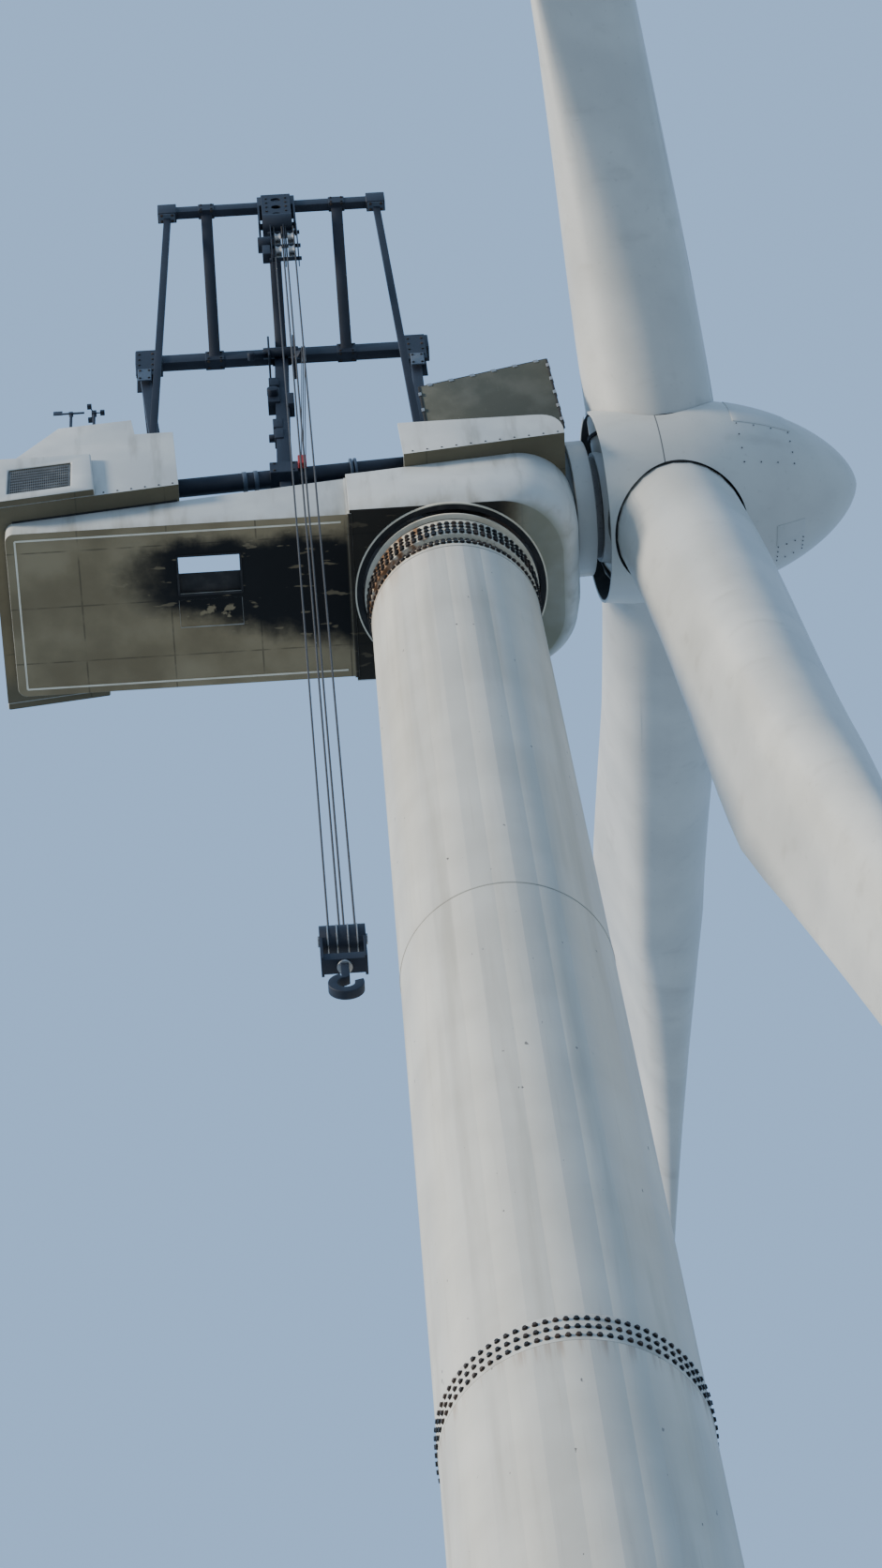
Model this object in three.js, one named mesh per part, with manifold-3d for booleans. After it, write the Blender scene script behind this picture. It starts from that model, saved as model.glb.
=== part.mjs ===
// Wind turbine nacelle on the upper part of its tower, with the middle roof off and a service
// crane standing in the opening. Millimetres, +Z up, +X towards the rotor.
// The origin is the centre of the flange at the tower's foot. Inside the nacelle group
// z = 0 is the top edge of the tower shell.
import * as THREE from "three";
import { mergeVertices } from "three/addons/utils/BufferGeometryUtils.js";
import Module from "manifold-3d";

const wasm = await Module();
wasm.setup();

// Gap kept between pieces that touch.
const GAP = 0.4;
// Gap kept between pieces that turn against each other.
const RUN = 6;
// A length that runs past every piece, for cutting.
const FAR = 12000;

// Tower section
const TOWER_H = 22700;
const TOWER_TOP_R = 1150;
const TOWER_BASE_R = 1434;
const TOWER_WALL = 30;
const TOWER_SIDES = 24;
const FLANGE_H = 110;
const FLANGE_BAND = 150;
const DECK_T = 24;

// Yaw bearing, in heights above the tower shell
const TOP_FLANGE_H = 120;
const GEAR_TOP = 300;
const GEAR_R = 1090;
const BEARING_TOP = 450;
const BEARING_R = 1165;
const RING_BORE_R = 940;
const NECK_R = 1130;
const ROUND = 40;

// Lower housing
const TAIL_X = -6070;
const SEAM_X = -1360;
const FLOOR_Z = 960;
const REAR_HALF = 1240;
const WALL = 42;
const TAIL_CORNER_R = 120;
const EAVE_TAIL_Z = 1310;
const EAVE_SLOPE = 0.179;
const BOW_CORNER_R = 880;
const YAW_CUT_R = 1262;
const HATCH = { x0: -3740, x1: -2890, y0: -750, y1: -180 };
const PAN = { x0: -3760, x1: -2890, y0: -90, y1: 330, deep: 24 };
// Height, half width and bow position of the front tub, from its floor up
const FRONT_RINGS = [
  { z: FLOOR_Z, half: 1300, bow: 1560 },
  { z: 1040, half: 1355, bow: 1660 },
  { z: 1220, half: 1390, bow: 1760 },
  { z: 1650, half: 1375, bow: 1830 },
  { z: 2200, half: 1300, bow: 1850 },
  { z: 2900, half: 1270, bow: 1850 },
];

// Roof covers
const COVER_HALF = 1490;
const LIP_HALF = 1205;
const REAR_COVER_TAIL = -6250;
const REAR_COVER_FRONT = -3670;
const TAIL_DECK_Z = 2740;
const RAKE = { x0: -6060, x1: -5350, z1: 3910 };
const HIGH_ROOF = { x1: -4320, z1: 4060 };
const CHEEK_Z = 3550;
const CHEEK_X = -4270;
const FRONT_COVER_REAR = -530;
const FRONT_COVER_NOSE = 1750;
const FRONT_ROOF_Z = 3390;
const FRONT_ROOF_REAR = 20;
const NOSE_ROUND = { x: 1400, z: 2800 };
const COWL = { x0: 20, x1: 1770, half: 990, z1: 4420, corner: 260 };

// Louvre panels
const LOUVRE = { x0: -6020, x1: -5150, low: 220, tall: 800, depth: 100, pad: 240, slats: 9 };
const LOUVRE_PANEL = { front: -4880, top: 2740 };

// Roof lid set up on the front roof
const LID = { lean: 17, foot: -1250, t: 45 };
const LID_OUTLINE = [
  [-130, 0],
  [1800, 0],
  [1680, 1550],
  [-190, 1090],
];

// Rotor
const HUB = { x: 3210, z: 3460 };
const TILT = THREE.MathUtils.degToRad(4.5);
// Each blade's turn about the shaft from straight down, and its lean out of the rotor's plane, in degrees
const BLADES = {
  a: { angle: -125.8, lean: -2.1 },
  b: { angle: -5.8, lean: 0.3 },
  c: { angle: 114.2, lean: 3.5 },
};
const SPINNER_R = 1420;
const SPINNER_BACK = -1000;
const SPINNER_RIM_R = 1370;
const NOSE_START = 200;
const NOSE_TIP = 2800;
const NOSE_POWER = 1.8;
const NOSE_ROOT = 0.6;
const ROOT_R = 920;
const SOCKET_R = 955;
const SOCKET_FLOOR = 700;
const BLADE_TIP = 21300;
// Where the blade leaves its round root, and where its chord is widest
const BLADE_NECK = 1300;
const SHOULDER = 10600;
const SHOULDER_SECTION = { lead: 581, trail: 1470, half: 685, thin: 0.82 };
const TIP_SHARE = { chord: 0.55, half: 0.1, end: 0.35 };
const PITCH = { root: 42, tip: 14 };
const SHAFT_R = 380;
const SHAFT_REAR = -4000;
const SHAFT_FLANGE = { r: 720, rear: -1250 };
const COLLAR = { inner: 800, outer: 970, rear: -1400, front: -1130 };

// Bedplate and machinery
const GIRDER = { y0: 870, y1: 1030, z0: 1060, z1: 1500, x0: -5900, x1: 1250 };
// Where the girders stand on the lower housing's floor
const GIRDER_FEET = [-5700, -4500, -2200, 960];
const FOOT_L = 210;
// The bedplate's deck over the tower, and the manhole in it
const BED_DECK_T = 80;
const MANHOLE = { x: 400, r: 330 };
const GENERATOR = { x0: -5850, x1: -4460, z: 2330, r: 520 };
const GEARBOX_FOOT = { x0: -1780, x1: -1380, z1: 2540 };

// Service crane
const BASE_TUBE = { y: 1080, r: 130, rear: [-4190, 2451], front: [-20, 2868] };
const BASE_POSTS = [-3930, -2190, -290];
const LOWER_BEAM = { x0: -4280, x1: 80, y: -1050, z: 7120, w: 140, h: 300 };
const UPPER_BEAM = { x0: -3830, x1: -410, y: -2700, z: 8970, w: 120, h: 220 };
const LOWER_BLOCK = { l: 400, w: 240, h: 460 };
const UPPER_BLOCK = { l: 280, w: 170, h: 360 };
const POST_X = { rear: -3100, front: -1140 };
const LEG = { rear: [-3900, -4170], front: [-180, -130] };
const STRUT = { rear: [-4100, -3680], front: [-215, -550] };
const MAST_X = [-2200, -2110];
const HEAD = { x0: -2330, x1: -1770, w: 240, up: 160, down: 900, plate: 30, sheave: 190, pin: 120 };
const FALLS = { x: [-2050, -1880], y: -2700, spread: 60, r: 11, low: -13000 };
const BLOCK = { half: 250, w: 240, h: 720, pin: 60 };
const HOOK_H = 620;
// Where the ropes leave the head's sheaves
const FALLS_TOP = UPPER_BEAM.z - HEAD.down + HEAD.pin - HEAD.sheave - GAP;

// Height of the slanting eave at x.
function eave(x) {
  return EAVE_TAIL_Z + EAVE_SLOPE * (x - TAIL_X);
}

// A closed geometry as a solid with its faces turned outwards.
function toSolid(geometry) {
  const bare = geometry.clone();
  bare.deleteAttribute("normal");
  bare.deleteAttribute("uv");
  const merged = mergeVertices(bare, 1e-3);
  const triVerts = new Uint32Array(merged.index.array);
  const vertProperties = new Float32Array(merged.attributes.position.array);
  const made = new wasm.Manifold(new wasm.Mesh({ numProp: 3, vertProperties, triVerts }));
  if (made.volume() > 0) return made;
  for (let i = 0; i < triVerts.length; i += 3) {
    const first = triVerts[i];
    triVerts[i] = triVerts[i + 1];
    triVerts[i + 1] = first;
  }
  return new wasm.Manifold(new wasm.Mesh({ numProp: 3, vertProperties, triVerts }));
}

// A solid as a mesh geometry.
function toGeometry(solid) {
  const mesh = solid.getMesh();
  const geometry = new THREE.BufferGeometry();
  geometry.setAttribute("position", new THREE.BufferAttribute(mesh.vertProperties, 3));
  geometry.setIndex(new THREE.BufferAttribute(mesh.triVerts, 1));
  const flat = geometry.toNonIndexed();
  flat.computeVertexNormals();
  return flat;
}

function joined(solids) {
  return solids.reduce((sum, next) => sum.add(next));
}

function cut(solid, tools) {
  return tools.reduce((rest, tool) => rest.subtract(tool), solid);
}

// The largest body of a solid that a cut has split.
function largest(solid) {
  return solid.decompose().reduce((best, one) => (one.volume() > best.volume() ? one : best));
}

// Box between two corners.
function box(x0, x1, y0, y1, z0, z1) {
  const geometry = new THREE.BoxGeometry(x1 - x0, y1 - y0, z1 - z0);
  geometry.translate((x0 + x1) / 2, (y0 + y1) / 2, (z0 + z1) / 2);
  return toSolid(geometry);
}

// Box with its centre at a point.
function block(centre, l, w, h) {
  const [x, y, z] = centre;
  return box(x - l / 2, x + l / 2, y - w / 2, y + w / 2, z - h / 2, z + h / 2);
}

function outline(points) {
  return new THREE.Shape(points.map(([x, y]) => new THREE.Vector2(x, y)));
}

// Plan outline raised from z0 to z1.
function raise(shape, z0, z1, curveSegments = 10) {
  const geometry = new THREE.ExtrudeGeometry(shape, { depth: z1 - z0, bevelEnabled: false, curveSegments });
  geometry.translate(0, 0, z0);
  return toSolid(geometry);
}

// Side outline in x and z, carried from y0 to y1.
function across(shape, y0, y1, curveSegments = 8) {
  const geometry = new THREE.ExtrudeGeometry(shape, { depth: y1 - y0, bevelEnabled: false, curveSegments });
  geometry.rotateX(Math.PI / 2);
  geometry.translate(0, y1, 0);
  return toSolid(geometry);
}

// End outline in y and z, carried from x0 to x1.
function along(shape, x0, x1, curveSegments = 6) {
  const geometry = new THREE.ExtrudeGeometry(shape, { depth: x1 - x0, bevelEnabled: false, curveSegments });
  geometry.rotateX(Math.PI / 2);
  geometry.rotateZ(Math.PI / 2);
  geometry.translate(x0, 0, 0);
  return toSolid(geometry);
}

// Closed profile of radius and height, turned about the z axis.
function turned(profile, sides) {
  const points = profile.map(([r, z]) => new THREE.Vector2(r, z));
  const first = points[0];
  if (first.x > 0) points.push(first.clone());
  const geometry = new THREE.LatheGeometry(points, sides);
  geometry.rotateX(Math.PI / 2);
  return toSolid(geometry);
}

// The same about the rotor's own axis, x in the rotor group.
function turnedOnShaft(profile, sides) {
  return turned(profile, sides).rotate([0, 90, 0]);
}

function ring(inner, outer, z0, z1, sides) {
  return turned([[inner, z0], [outer, z0], [outer, z1], [inner, z1]], sides);
}

function drum(r, z0, z1, sides) {
  const geometry = new THREE.CylinderGeometry(r, r, z1 - z0, sides);
  geometry.rotateX(Math.PI / 2);
  geometry.translate(0, 0, (z0 + z1) / 2);
  return toSolid(geometry);
}

// Bar between two points: a box section of width w and height h, or a round one with `sides`.
function bar(from, to, w, h, sides = 0) {
  const a = new THREE.Vector3(...from);
  const b = new THREE.Vector3(...to);
  const length = a.distanceTo(b);
  const geometry = sides
    ? new THREE.CylinderGeometry(w / 2, w / 2, length, sides).rotateX(Math.PI / 2)
    : new THREE.BoxGeometry(w, h, length);
  const seat = new THREE.Object3D();
  seat.position.copy(a).lerp(b, 0.5);
  seat.up.set(1, 0, 0);
  seat.lookAt(b);
  seat.updateMatrix();
  geometry.applyMatrix4(seat.matrix);
  return toSolid(geometry);
}

// Closed skin over equal rings of points.
function loft(rings) {
  const count = rings[0].length;
  const positions = rings.flat().flatMap((p) => [p.x, p.y, p.z]);
  const index = [];
  for (let i = 0; i + 1 < rings.length; i += 1) {
    for (let j = 0; j < count; j += 1) {
      const k = (j + 1) % count;
      const a = i * count + j;
      const b = i * count + k;
      index.push(a, b, b + count, a, b + count, a + count);
    }
  }
  const last = (rings.length - 1) * count;
  const contour = rings[0].map((p) => new THREE.Vector2(p.u, p.v));
  const cap = THREE.ShapeUtils.triangulateShape(contour, []);
  for (const [a, b, c] of cap) {
    index.push(a, c, b);
    index.push(last + a, last + b, last + c);
  }
  const geometry = new THREE.BufferGeometry();
  geometry.setAttribute("position", new THREE.Float32BufferAttribute(positions, 3));
  geometry.setIndex(index);
  return toSolid(geometry);
}

// Everything above the slanting eave, raised by lift.
function aboveEave(lift) {
  const x0 = REAR_COVER_TAIL - WALL;
  const x1 = HUB.x;
  return across(
    outline([[x0, eave(x0) + lift], [x1, eave(x1) + lift], [x1, FAR], [x0, FAR]]),
    -COVER_HALF * 2,
    COVER_HALF * 2,
  );
}

function belowEave(lift) {
  const x0 = REAR_COVER_TAIL - WALL;
  const x1 = HUB.x;
  return across(
    outline([[x0, -FAR], [x1, -FAR], [x1, eave(x1) + lift], [x0, eave(x0) + lift]]),
    -COVER_HALF * 2,
    COVER_HALF * 2,
  );
}

// Plan of the front tub at one height: straight sides and a bow with round corners.
function bowPlan(rear, half, bow, z) {
  const r = BOW_CORNER_R;
  const path = new THREE.Path();
  path.moveTo(rear, -half);
  path.lineTo(bow - r, -half);
  path.absarc(bow - r, r - half, r, -Math.PI / 2, 0, false);
  path.lineTo(bow, half - r);
  path.absarc(bow - r, half - r, r, 0, Math.PI / 2, false);
  path.lineTo(rear, half);
  return path.getPoints(8).map((p) => ({ x: p.x, y: p.y, z, u: p.x, v: p.y }));
}

// The front tub's form, drawn in by inset on all sides and from the floor up.
function frontTubForm(inset) {
  const rear = inset ? SEAM_X - WALL : SEAM_X;
  return loft(
    FRONT_RINGS.map((level, i) =>
      bowPlan(rear, level.half - inset, level.bow - inset, level.z + (i === 0 ? inset : inset / 2)),
    ),
  );
}

// Tower
function towerShell() {
  return turned(
    [
      [TOWER_BASE_R - TOWER_WALL, 0],
      [TOWER_BASE_R, 0],
      [TOWER_TOP_R, TOWER_H],
      [TOWER_TOP_R - TOWER_WALL, TOWER_H],
    ],
    TOWER_SIDES,
  );
}

// Bolting flange at the tower's foot, with the climbing deck inside it.
function towerBaseFlange() {
  const outer = TOWER_BASE_R - TOWER_WALL - GAP;
  const draw = (FLANGE_H * (TOWER_BASE_R - TOWER_TOP_R)) / TOWER_H;
  const inner = outer - FLANGE_BAND;
  return turned(
    [
      [0, 0],
      [outer, 0],
      [outer - draw, FLANGE_H],
      [inner, FLANGE_H],
      [inner, DECK_T],
      [0, DECK_T],
    ],
    TOWER_SIDES,
  );
}

// Rotor pieces, in the rotor group's frame with x along the shaft
function spinner() {
  const nose = [];
  const steps = 9;
  for (let i = 0; i < steps; i += 1) {
    const share = Math.sin((i / steps) * (Math.PI / 2));
    const r = SPINNER_R * (1 - share ** NOSE_POWER) ** NOSE_ROOT;
    nose.push([r, NOSE_START + share * (NOSE_TIP - NOSE_START)]);
  }
  const body = turnedOnShaft(
    [
      [0, SPINNER_BACK],
      [780, SPINNER_BACK],
      [840, SPINNER_BACK + 240],
      [1290, SPINNER_BACK + 240],
      [SPINNER_RIM_R - 40, SPINNER_BACK],
      [SPINNER_RIM_R, SPINNER_BACK],
      [SPINNER_R, SPINNER_BACK + 420],
      ...nose,
      [0, NOSE_TIP],
    ],
    ROUND,
  );
  return cut(body, Object.values(BLADES).map((seat) => bladeSocket(seat)));
}

// Unit vectors of a blade: along its span, and the way its trailing edge turns.
function bladeAxes(seat) {
  const phi = THREE.MathUtils.degToRad(seat.angle);
  const lean = THREE.MathUtils.degToRad(seat.lean);
  const out = Math.cos(lean);
  const span = new THREE.Vector3(Math.sin(lean), Math.sin(phi) * out, -Math.cos(phi) * out);
  const turn = new THREE.Vector3(0, Math.cos(phi), Math.sin(phi));
  const ahead = new THREE.Vector3().crossVectors(span, turn);
  return { span, turn, ahead };
}

function bladeSocket(seat) {
  const { span } = bladeAxes(seat);
  const from = span.clone().multiplyScalar(SOCKET_FLOOR).toArray();
  const to = span.clone().multiplyScalar(SPINNER_R * 1.4).toArray();
  return bar(from, to, 2 * SOCKET_R, 2 * SOCKET_R, ROUND);
}

// A blade's section at a distance from the shaft's axis.
function bladeSection(reach) {
  const { smoothstep, lerp, clamp, degToRad } = THREE.MathUtils;
  const form = smoothstep(reach, BLADE_NECK, SHOULDER);
  const outer = clamp((reach - SHOULDER) / (BLADE_TIP - SHOULDER), 0, 1);
  const rounding = outer > 0.99 ? TIP_SHARE.end : 1;
  const chord = lerp(1, TIP_SHARE.chord, outer) * rounding;
  const depth = lerp(1, TIP_SHARE.half, Math.sqrt(outer)) * rounding;
  return {
    lead: lerp(ROOT_R, SHOULDER_SECTION.lead, form) * chord,
    trail: lerp(ROOT_R, SHOULDER_SECTION.trail, form) * chord,
    half: lerp(ROOT_R, SHOULDER_SECTION.half, form) * depth,
    thin: SHOULDER_SECTION.thin * form,
    pitch: degToRad(lerp(PITCH.root, PITCH.tip, Math.sqrt(outer))),
  };
}

// One blade from its round root, over its shoulder, to its tip.
function blade(seat) {
  const { span, turn, ahead } = bladeAxes(seat);
  const stations = 24;
  const around = 24;
  const rings = [];
  for (let i = 0; i <= stations; i += 1) {
    const reach = SOCKET_FLOOR + GAP + (i / stations) * (BLADE_TIP - SOCKET_FLOOR - GAP);
    const section = bladeSection(reach);
    const cos = Math.cos(section.pitch);
    const sin = Math.sin(section.pitch);
    const chord = turn.clone().multiplyScalar(cos).addScaledVector(ahead, -sin);
    const thick = ahead.clone().multiplyScalar(cos).addScaledVector(turn, sin);
    const points = [];
    for (let j = 0; j < around; j += 1) {
      const a = (j / around) * 2 * Math.PI;
      const aft = Math.max(0, Math.cos(a));
      const u = Math.cos(a) * (aft > 0 ? section.trail : section.lead);
      const v = Math.sin(a) * section.half * (1 - section.thin * aft);
      const p = span.clone().multiplyScalar(reach).addScaledVector(chord, u).addScaledVector(thick, v);
      points.push({ x: p.x, y: p.y, z: p.z, u, v });
    }
    rings.push(points);
  }
  return loft(rings);
}

function mainShaft() {
  return turnedOnShaft(
    [
      [0, SHAFT_REAR],
      [SHAFT_R, SHAFT_REAR],
      [SHAFT_R, SHAFT_FLANGE.rear],
      [SHAFT_FLANGE.r, SHAFT_FLANGE.rear],
      [SHAFT_FLANGE.r, SPINNER_BACK - GAP],
      [0, SPINNER_BACK - GAP],
    ],
    64,
  );
}

// A ring on the shaft's axis, moved into the nacelle's frame.
function onShaftAxis(solid) {
  const degrees = -THREE.MathUtils.radToDeg(TILT);
  return solid.rotate([0, degrees, 0]).translate([HUB.x, 0, HUB.z]);
}

function shaftRing(inner, outer, rear, front, sides) {
  return onShaftAxis(turnedOnShaft([[inner, rear], [outer, rear], [outer, front], [inner, front]], sides));
}

// Plummer block on the shaft with a foot down to the bedplate.
function shaftBearing(rear, front, inner, outer, foot, sides) {
  const housing = shaftRing(inner, outer, rear, front, sides);
  const pedestal = box(foot.x0, foot.x1, -foot.half, foot.half, GIRDER.z1 + GAP, foot.z1);
  const clear = shaftRing(1, outer - 60, rear - 600, front + 600, ROUND);
  return joined([cut(pedestal, [clear]), housing]);
}

function bedplate() {
  const { y0, y1, z0, z1, x0, x1 } = GIRDER;
  const cross = (xa, xb) => box(xa, xb, -y1, y1, z0, z1);
  const neck = ring(RING_BORE_R, NECK_R, BEARING_TOP + GAP, z0 + BED_DECK_T, ROUND);
  const { x, r } = MANHOLE;
  const manhole = drum(r, z0 - WALL, z0 + BED_DECK_T + WALL, 20).translate([x, 0, 0]);
  const deck = cut(box(-1300, 1180, -y1, y1, z0, z0 + BED_DECK_T), [manhole]);
  const feet = GIRDER_FEET.flatMap((x) =>
    [-y1, y0].map((y) => box(x, x + FOOT_L, y, y + y1 - y0, FLOOR_Z + WALL + GAP, z0 + WALL)),
  );
  return joined([
    neck,
    deck,
    ...feet,
    box(x0, x1, -y1, -y0, z0, z1),
    box(x0, x1, y0, y1, z0, z1),
    cross(x0, x0 + 160),
    cross(-4560, -4400),
    cross(-1300, -1140),
    cross(-620, -80),
    box(900, 1540, -620, 620, z0, z1),
  ]);
}

function generator() {
  const { x0, x1, z, r } = GENERATOR;
  const shell = drum(r, x0, x1, 28).rotate([0, 90, 0]).translate([0, 0, z]);
  const cooler = box(x0 + 180, x1 - 180, -r + 60, r - 60, z + r - 160, z + r + 260);
  const foot = box(x0 + 150, x1 - 150, -1010, 1010, GIRDER.z1 + GAP, GIRDER.z1 + 120);
  const saddle = box(x0 + 220, x1 - 220, -400, 400, GIRDER.z1 + 60, z);
  return joined([shell, cooler, foot, saddle]);
}

function gearboxFoot(side) {
  const { x0, x1, z1 } = GEARBOX_FOOT;
  const y = side * 950;
  const post = box(x0, x1, y - 90, y + 90, GIRDER.z1 + GAP, z1);
  const slot = box(x0 + 110, x1 - 110, y - 200, y + 200, z1 - 300, z1 - 120);
  return cut(post, [slot]);
}

// Lower housing
function tubRear() {
  const r = TAIL_CORNER_R;
  const plan = new THREE.Shape();
  plan.moveTo(SEAM_X - GAP, -REAR_HALF);
  plan.lineTo(SEAM_X - GAP, REAR_HALF);
  plan.lineTo(TAIL_X + r, REAR_HALF);
  plan.absarc(TAIL_X + r, REAR_HALF - r, r, Math.PI / 2, Math.PI, false);
  plan.lineTo(TAIL_X, r - REAR_HALF);
  plan.absarc(TAIL_X + r, r - REAR_HALF, r, Math.PI, Math.PI * 1.5, false);
  const top = 3000;
  const inner = REAR_HALF - WALL;
  return cut(raise(plan, FLOOR_Z, top, 5), [
    box(TAIL_X + WALL, SEAM_X + WALL, -inner, inner, FLOOR_Z + WALL, top + WALL),
    box(HATCH.x0, HATCH.x1, HATCH.y0, HATCH.y1, FLOOR_Z - WALL, FLOOR_Z + 2 * WALL),
    box(PAN.x0, PAN.x1, PAN.y0, PAN.y1, FLOOR_Z - WALL, FLOOR_Z + PAN.deep),
    aboveEave(-GAP),
  ]);
}

function tubFront() {
  return cut(frontTubForm(0), [
    frontTubForm(WALL),
    drum(YAW_CUT_R, FLOOR_Z - WALL, FLOOR_Z + 2 * WALL, ROUND),
    shaftRing(1, COLLAR.outer + 20, -2600, SPINNER_BACK, ROUND),
    aboveEave(-GAP),
  ]);
}

// Roof covers: shells open below and towards the missing middle roof
function rearProfile(inset) {
  const front = REAR_COVER_FRONT + (inset ? WALL : 0);
  return outline([
    [REAR_COVER_TAIL + inset, eave(REAR_COVER_TAIL)],
    [front, eave(REAR_COVER_FRONT)],
    [front - 60, CHEEK_Z + (inset ? FAR : 0)],
    [CHEEK_X - inset * 0.2, CHEEK_Z + (inset ? FAR : 0)],
    [HIGH_ROOF.x1, HIGH_ROOF.z1 - inset],
    [RAKE.x1, RAKE.z1 - inset],
    [RAKE.x0 + inset / 2, TAIL_DECK_Z - inset],
    [REAR_COVER_TAIL + inset, TAIL_DECK_Z - inset],
  ]);
}

function rearCover() {
  const half = COVER_HALF;
  const inner = half - WALL;
  const hollow = cut(across(rearProfile(WALL), -inner, inner), [belowEave(WALL)]);
  const x0 = TAIL_X + WALL;
  return cut(across(rearProfile(0), -half, half), [
    hollow,
    box(x0, REAR_COVER_FRONT + WALL, -LIP_HALF, LIP_HALF, 0, CHEEK_Z - 600),
  ]);
}

function frontProfile(inset) {
  const shape = new THREE.Shape();
  const nose = FRONT_COVER_NOSE - inset;
  const roof = FRONT_ROOF_Z - inset;
  const rear = FRONT_COVER_REAR - (inset ? WALL : 0);
  shape.moveTo(rear, eave(FRONT_COVER_REAR));
  shape.lineTo(nose, eave(FRONT_COVER_NOSE));
  shape.lineTo(nose, NOSE_ROUND.z);
  shape.quadraticCurveTo(nose, roof, NOSE_ROUND.x, roof);
  shape.lineTo(rear - 30, roof);
  return shape;
}

function frontCover() {
  const half = COVER_HALF;
  const inner = half - WALL;
  const hollow = cut(across(frontProfile(WALL), -inner, inner), [belowEave(WALL)]);
  const rings = [FLOOR_Z, FRONT_ROOF_Z - 500];
  const lipPlan = (z) => bowPlan(FRONT_COVER_REAR - WALL, LIP_HALF, FRONT_COVER_NOSE - WALL, z);
  const mouth = loft(rings.map(lipPlan));
  return cut(across(frontProfile(0), -half, half), [
    hollow,
    mouth,
    box(FRONT_COVER_REAR - FAR, FRONT_ROOF_REAR, -inner, inner, FRONT_ROOF_Z - 500, FAR),
    box(
      FRONT_ROOF_REAR,
      FRONT_COVER_NOSE - WALL,
      WALL - COWL.half,
      COWL.half - WALL,
      FRONT_ROOF_Z - 200,
      FAR,
    ),
    shaftRing(1, COLLAR.outer + 20, -2600, SPINNER_BACK, ROUND),
  ]);
}

// Raised hood of the front cover over the bearing, open below and behind.
function bearingCowl() {
  const { x0, x1, half, z1, corner } = COWL;
  const section = (inset, low) =>
    outline([
      [inset - half, low],
      [half - inset, low],
      [half - inset, z1 - corner],
      [half - corner, z1 - inset],
      [corner - half, z1 - inset],
      [inset - half, z1 - corner],
    ]);
  return cut(along(section(0, FRONT_ROOF_Z - WALL), x0, x1), [
    along(section(WALL, FRONT_ROOF_Z - 2 * WALL), x0 - WALL, x1 - WALL),
    shaftRing(1, COLLAR.outer + 20, -2600, SPINNER_BACK, ROUND),
  ]);
}

// Raised panel round the louvre on one side.
function louvreFrame(side) {
  const x0 = REAR_COVER_TAIL;
  const { front, top } = LOUVRE_PANEL;
  const near = COVER_HALF + GAP;
  const edge = outline([
    [x0, eave(x0) - 6],
    [front + 60, eave(front + 60) - 6],
    [front, top],
    [x0, top],
  ]);
  const panel = across(edge, near, near + LOUVRE.depth);
  const solid = cut(panel, [across(louvreQuad(0), 0, COVER_HALF * 2)]);
  return side > 0 ? solid : solid.mirror([0, 1, 0]);
}

function louvreQuad(inset) {
  const { x0, x1, low, tall } = LOUVRE;
  return outline([
    [x0 + inset, eave(x0) + low + inset],
    [x1 - inset, eave(x1) + low + inset],
    [x1 - inset, eave(x1) + low + tall - inset],
    [x0 + inset, eave(x0) + low + tall - inset],
  ]);
}

function louvreGrille(side) {
  const near = COVER_HALF + GAP;
  const deep = LOUVRE.depth - 30;
  const pitch = LOUVRE.tall / LOUVRE.slats;
  const plate = across(louvreQuad(GAP), near, near + deep);
  const grooves = [];
  for (let i = 0; i < LOUVRE.slats - 1; i += 1) {
    const lift = LOUVRE.low + (i + 0.7) * pitch;
    const xa = LOUVRE.x0 + 40;
    const xb = LOUVRE.x1 - 40;
    const slot = outline([
      [xa, eave(xa) + lift],
      [xb, eave(xb) + lift],
      [xb, eave(xb) + lift + pitch * 0.5],
      [xa, eave(xa) + lift + pitch * 0.5],
    ]);
    grooves.push(across(slot, near + deep / 2, near + deep * 2));
  }
  const solid = cut(plate, grooves);
  return side > 0 ? solid : solid.mirror([0, 1, 0]);
}

function roofLid(grow) {
  const wide = grow / 2;
  const flat = across(outline(LID_OUTLINE), -wide, LID.t + wide);
  return flat.rotate([LID.lean, 0, 0]).translate([0, LID.foot, FRONT_ROOF_Z + LID.t * 0.3 + GAP]);
}

// Foot bracket behind the lid.
function lidBracket(x) {
  const rough = box(x, x + 160, LID.foot - 80, LID.foot + 190, FRONT_ROOF_Z + GAP, FRONT_ROOF_Z + 420);
  const tools = [0, -5 * GAP, -LID.t].map((drop) => roofLid(2 * GAP).translate([0, 0, drop]));
  return largest(cut(rough, tools));
}

// Mast for the wind instruments, standing on the high roof.
function instrumentMast(x, height, head) {
  const slope = (HIGH_ROOF.z1 - RAKE.z1) / (HIGH_ROOF.x1 - RAKE.x1);
  const foot = RAKE.z1 + slope * (x - RAKE.x1);
  const y = 130 - COVER_HALF;
  const pole = drum(22, foot + 12, foot + height, 10).translate([x, y, 0]);
  const plate = block([x, y, foot], 120, 120, 60);
  const roof = across(rearProfile(0), -COVER_HALF, COVER_HALF).translate([0, 0, GAP]);
  return largest(cut(joined([pole, plate, head(x, y, foot + height)]), [roof]));
}

function vaneHead(x, y, z) {
  return joined([
    block([x - 20, y, z + 30], 420, 16, 40),
    block([x - 190, y, z + 60], 130, 10, 130),
    block([x, y, z], 60, 60, 60),
  ]);
}

function anemometerHead(x, y, z) {
  const cups = [0, 120, 240].map((turn) => {
    const angle = THREE.MathUtils.degToRad(turn);
    const reach = 120;
    const tip = [x + reach * Math.cos(angle), y + reach * Math.sin(angle), z + 30];
    return joined([bar([x, y, z + 30], tip, 14, 14), block(tip, 64, 64, 64)]);
  });
  return joined([block([x, y, z + 10], 70, 70, 90), ...cups]);
}

// Service crane
const baseRear = (side) => [BASE_TUBE.rear[0], side * BASE_TUBE.y, BASE_TUBE.rear[1]];
const baseFront = (side) => [BASE_TUBE.front[0], side * BASE_TUBE.y, BASE_TUBE.front[1]];

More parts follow.
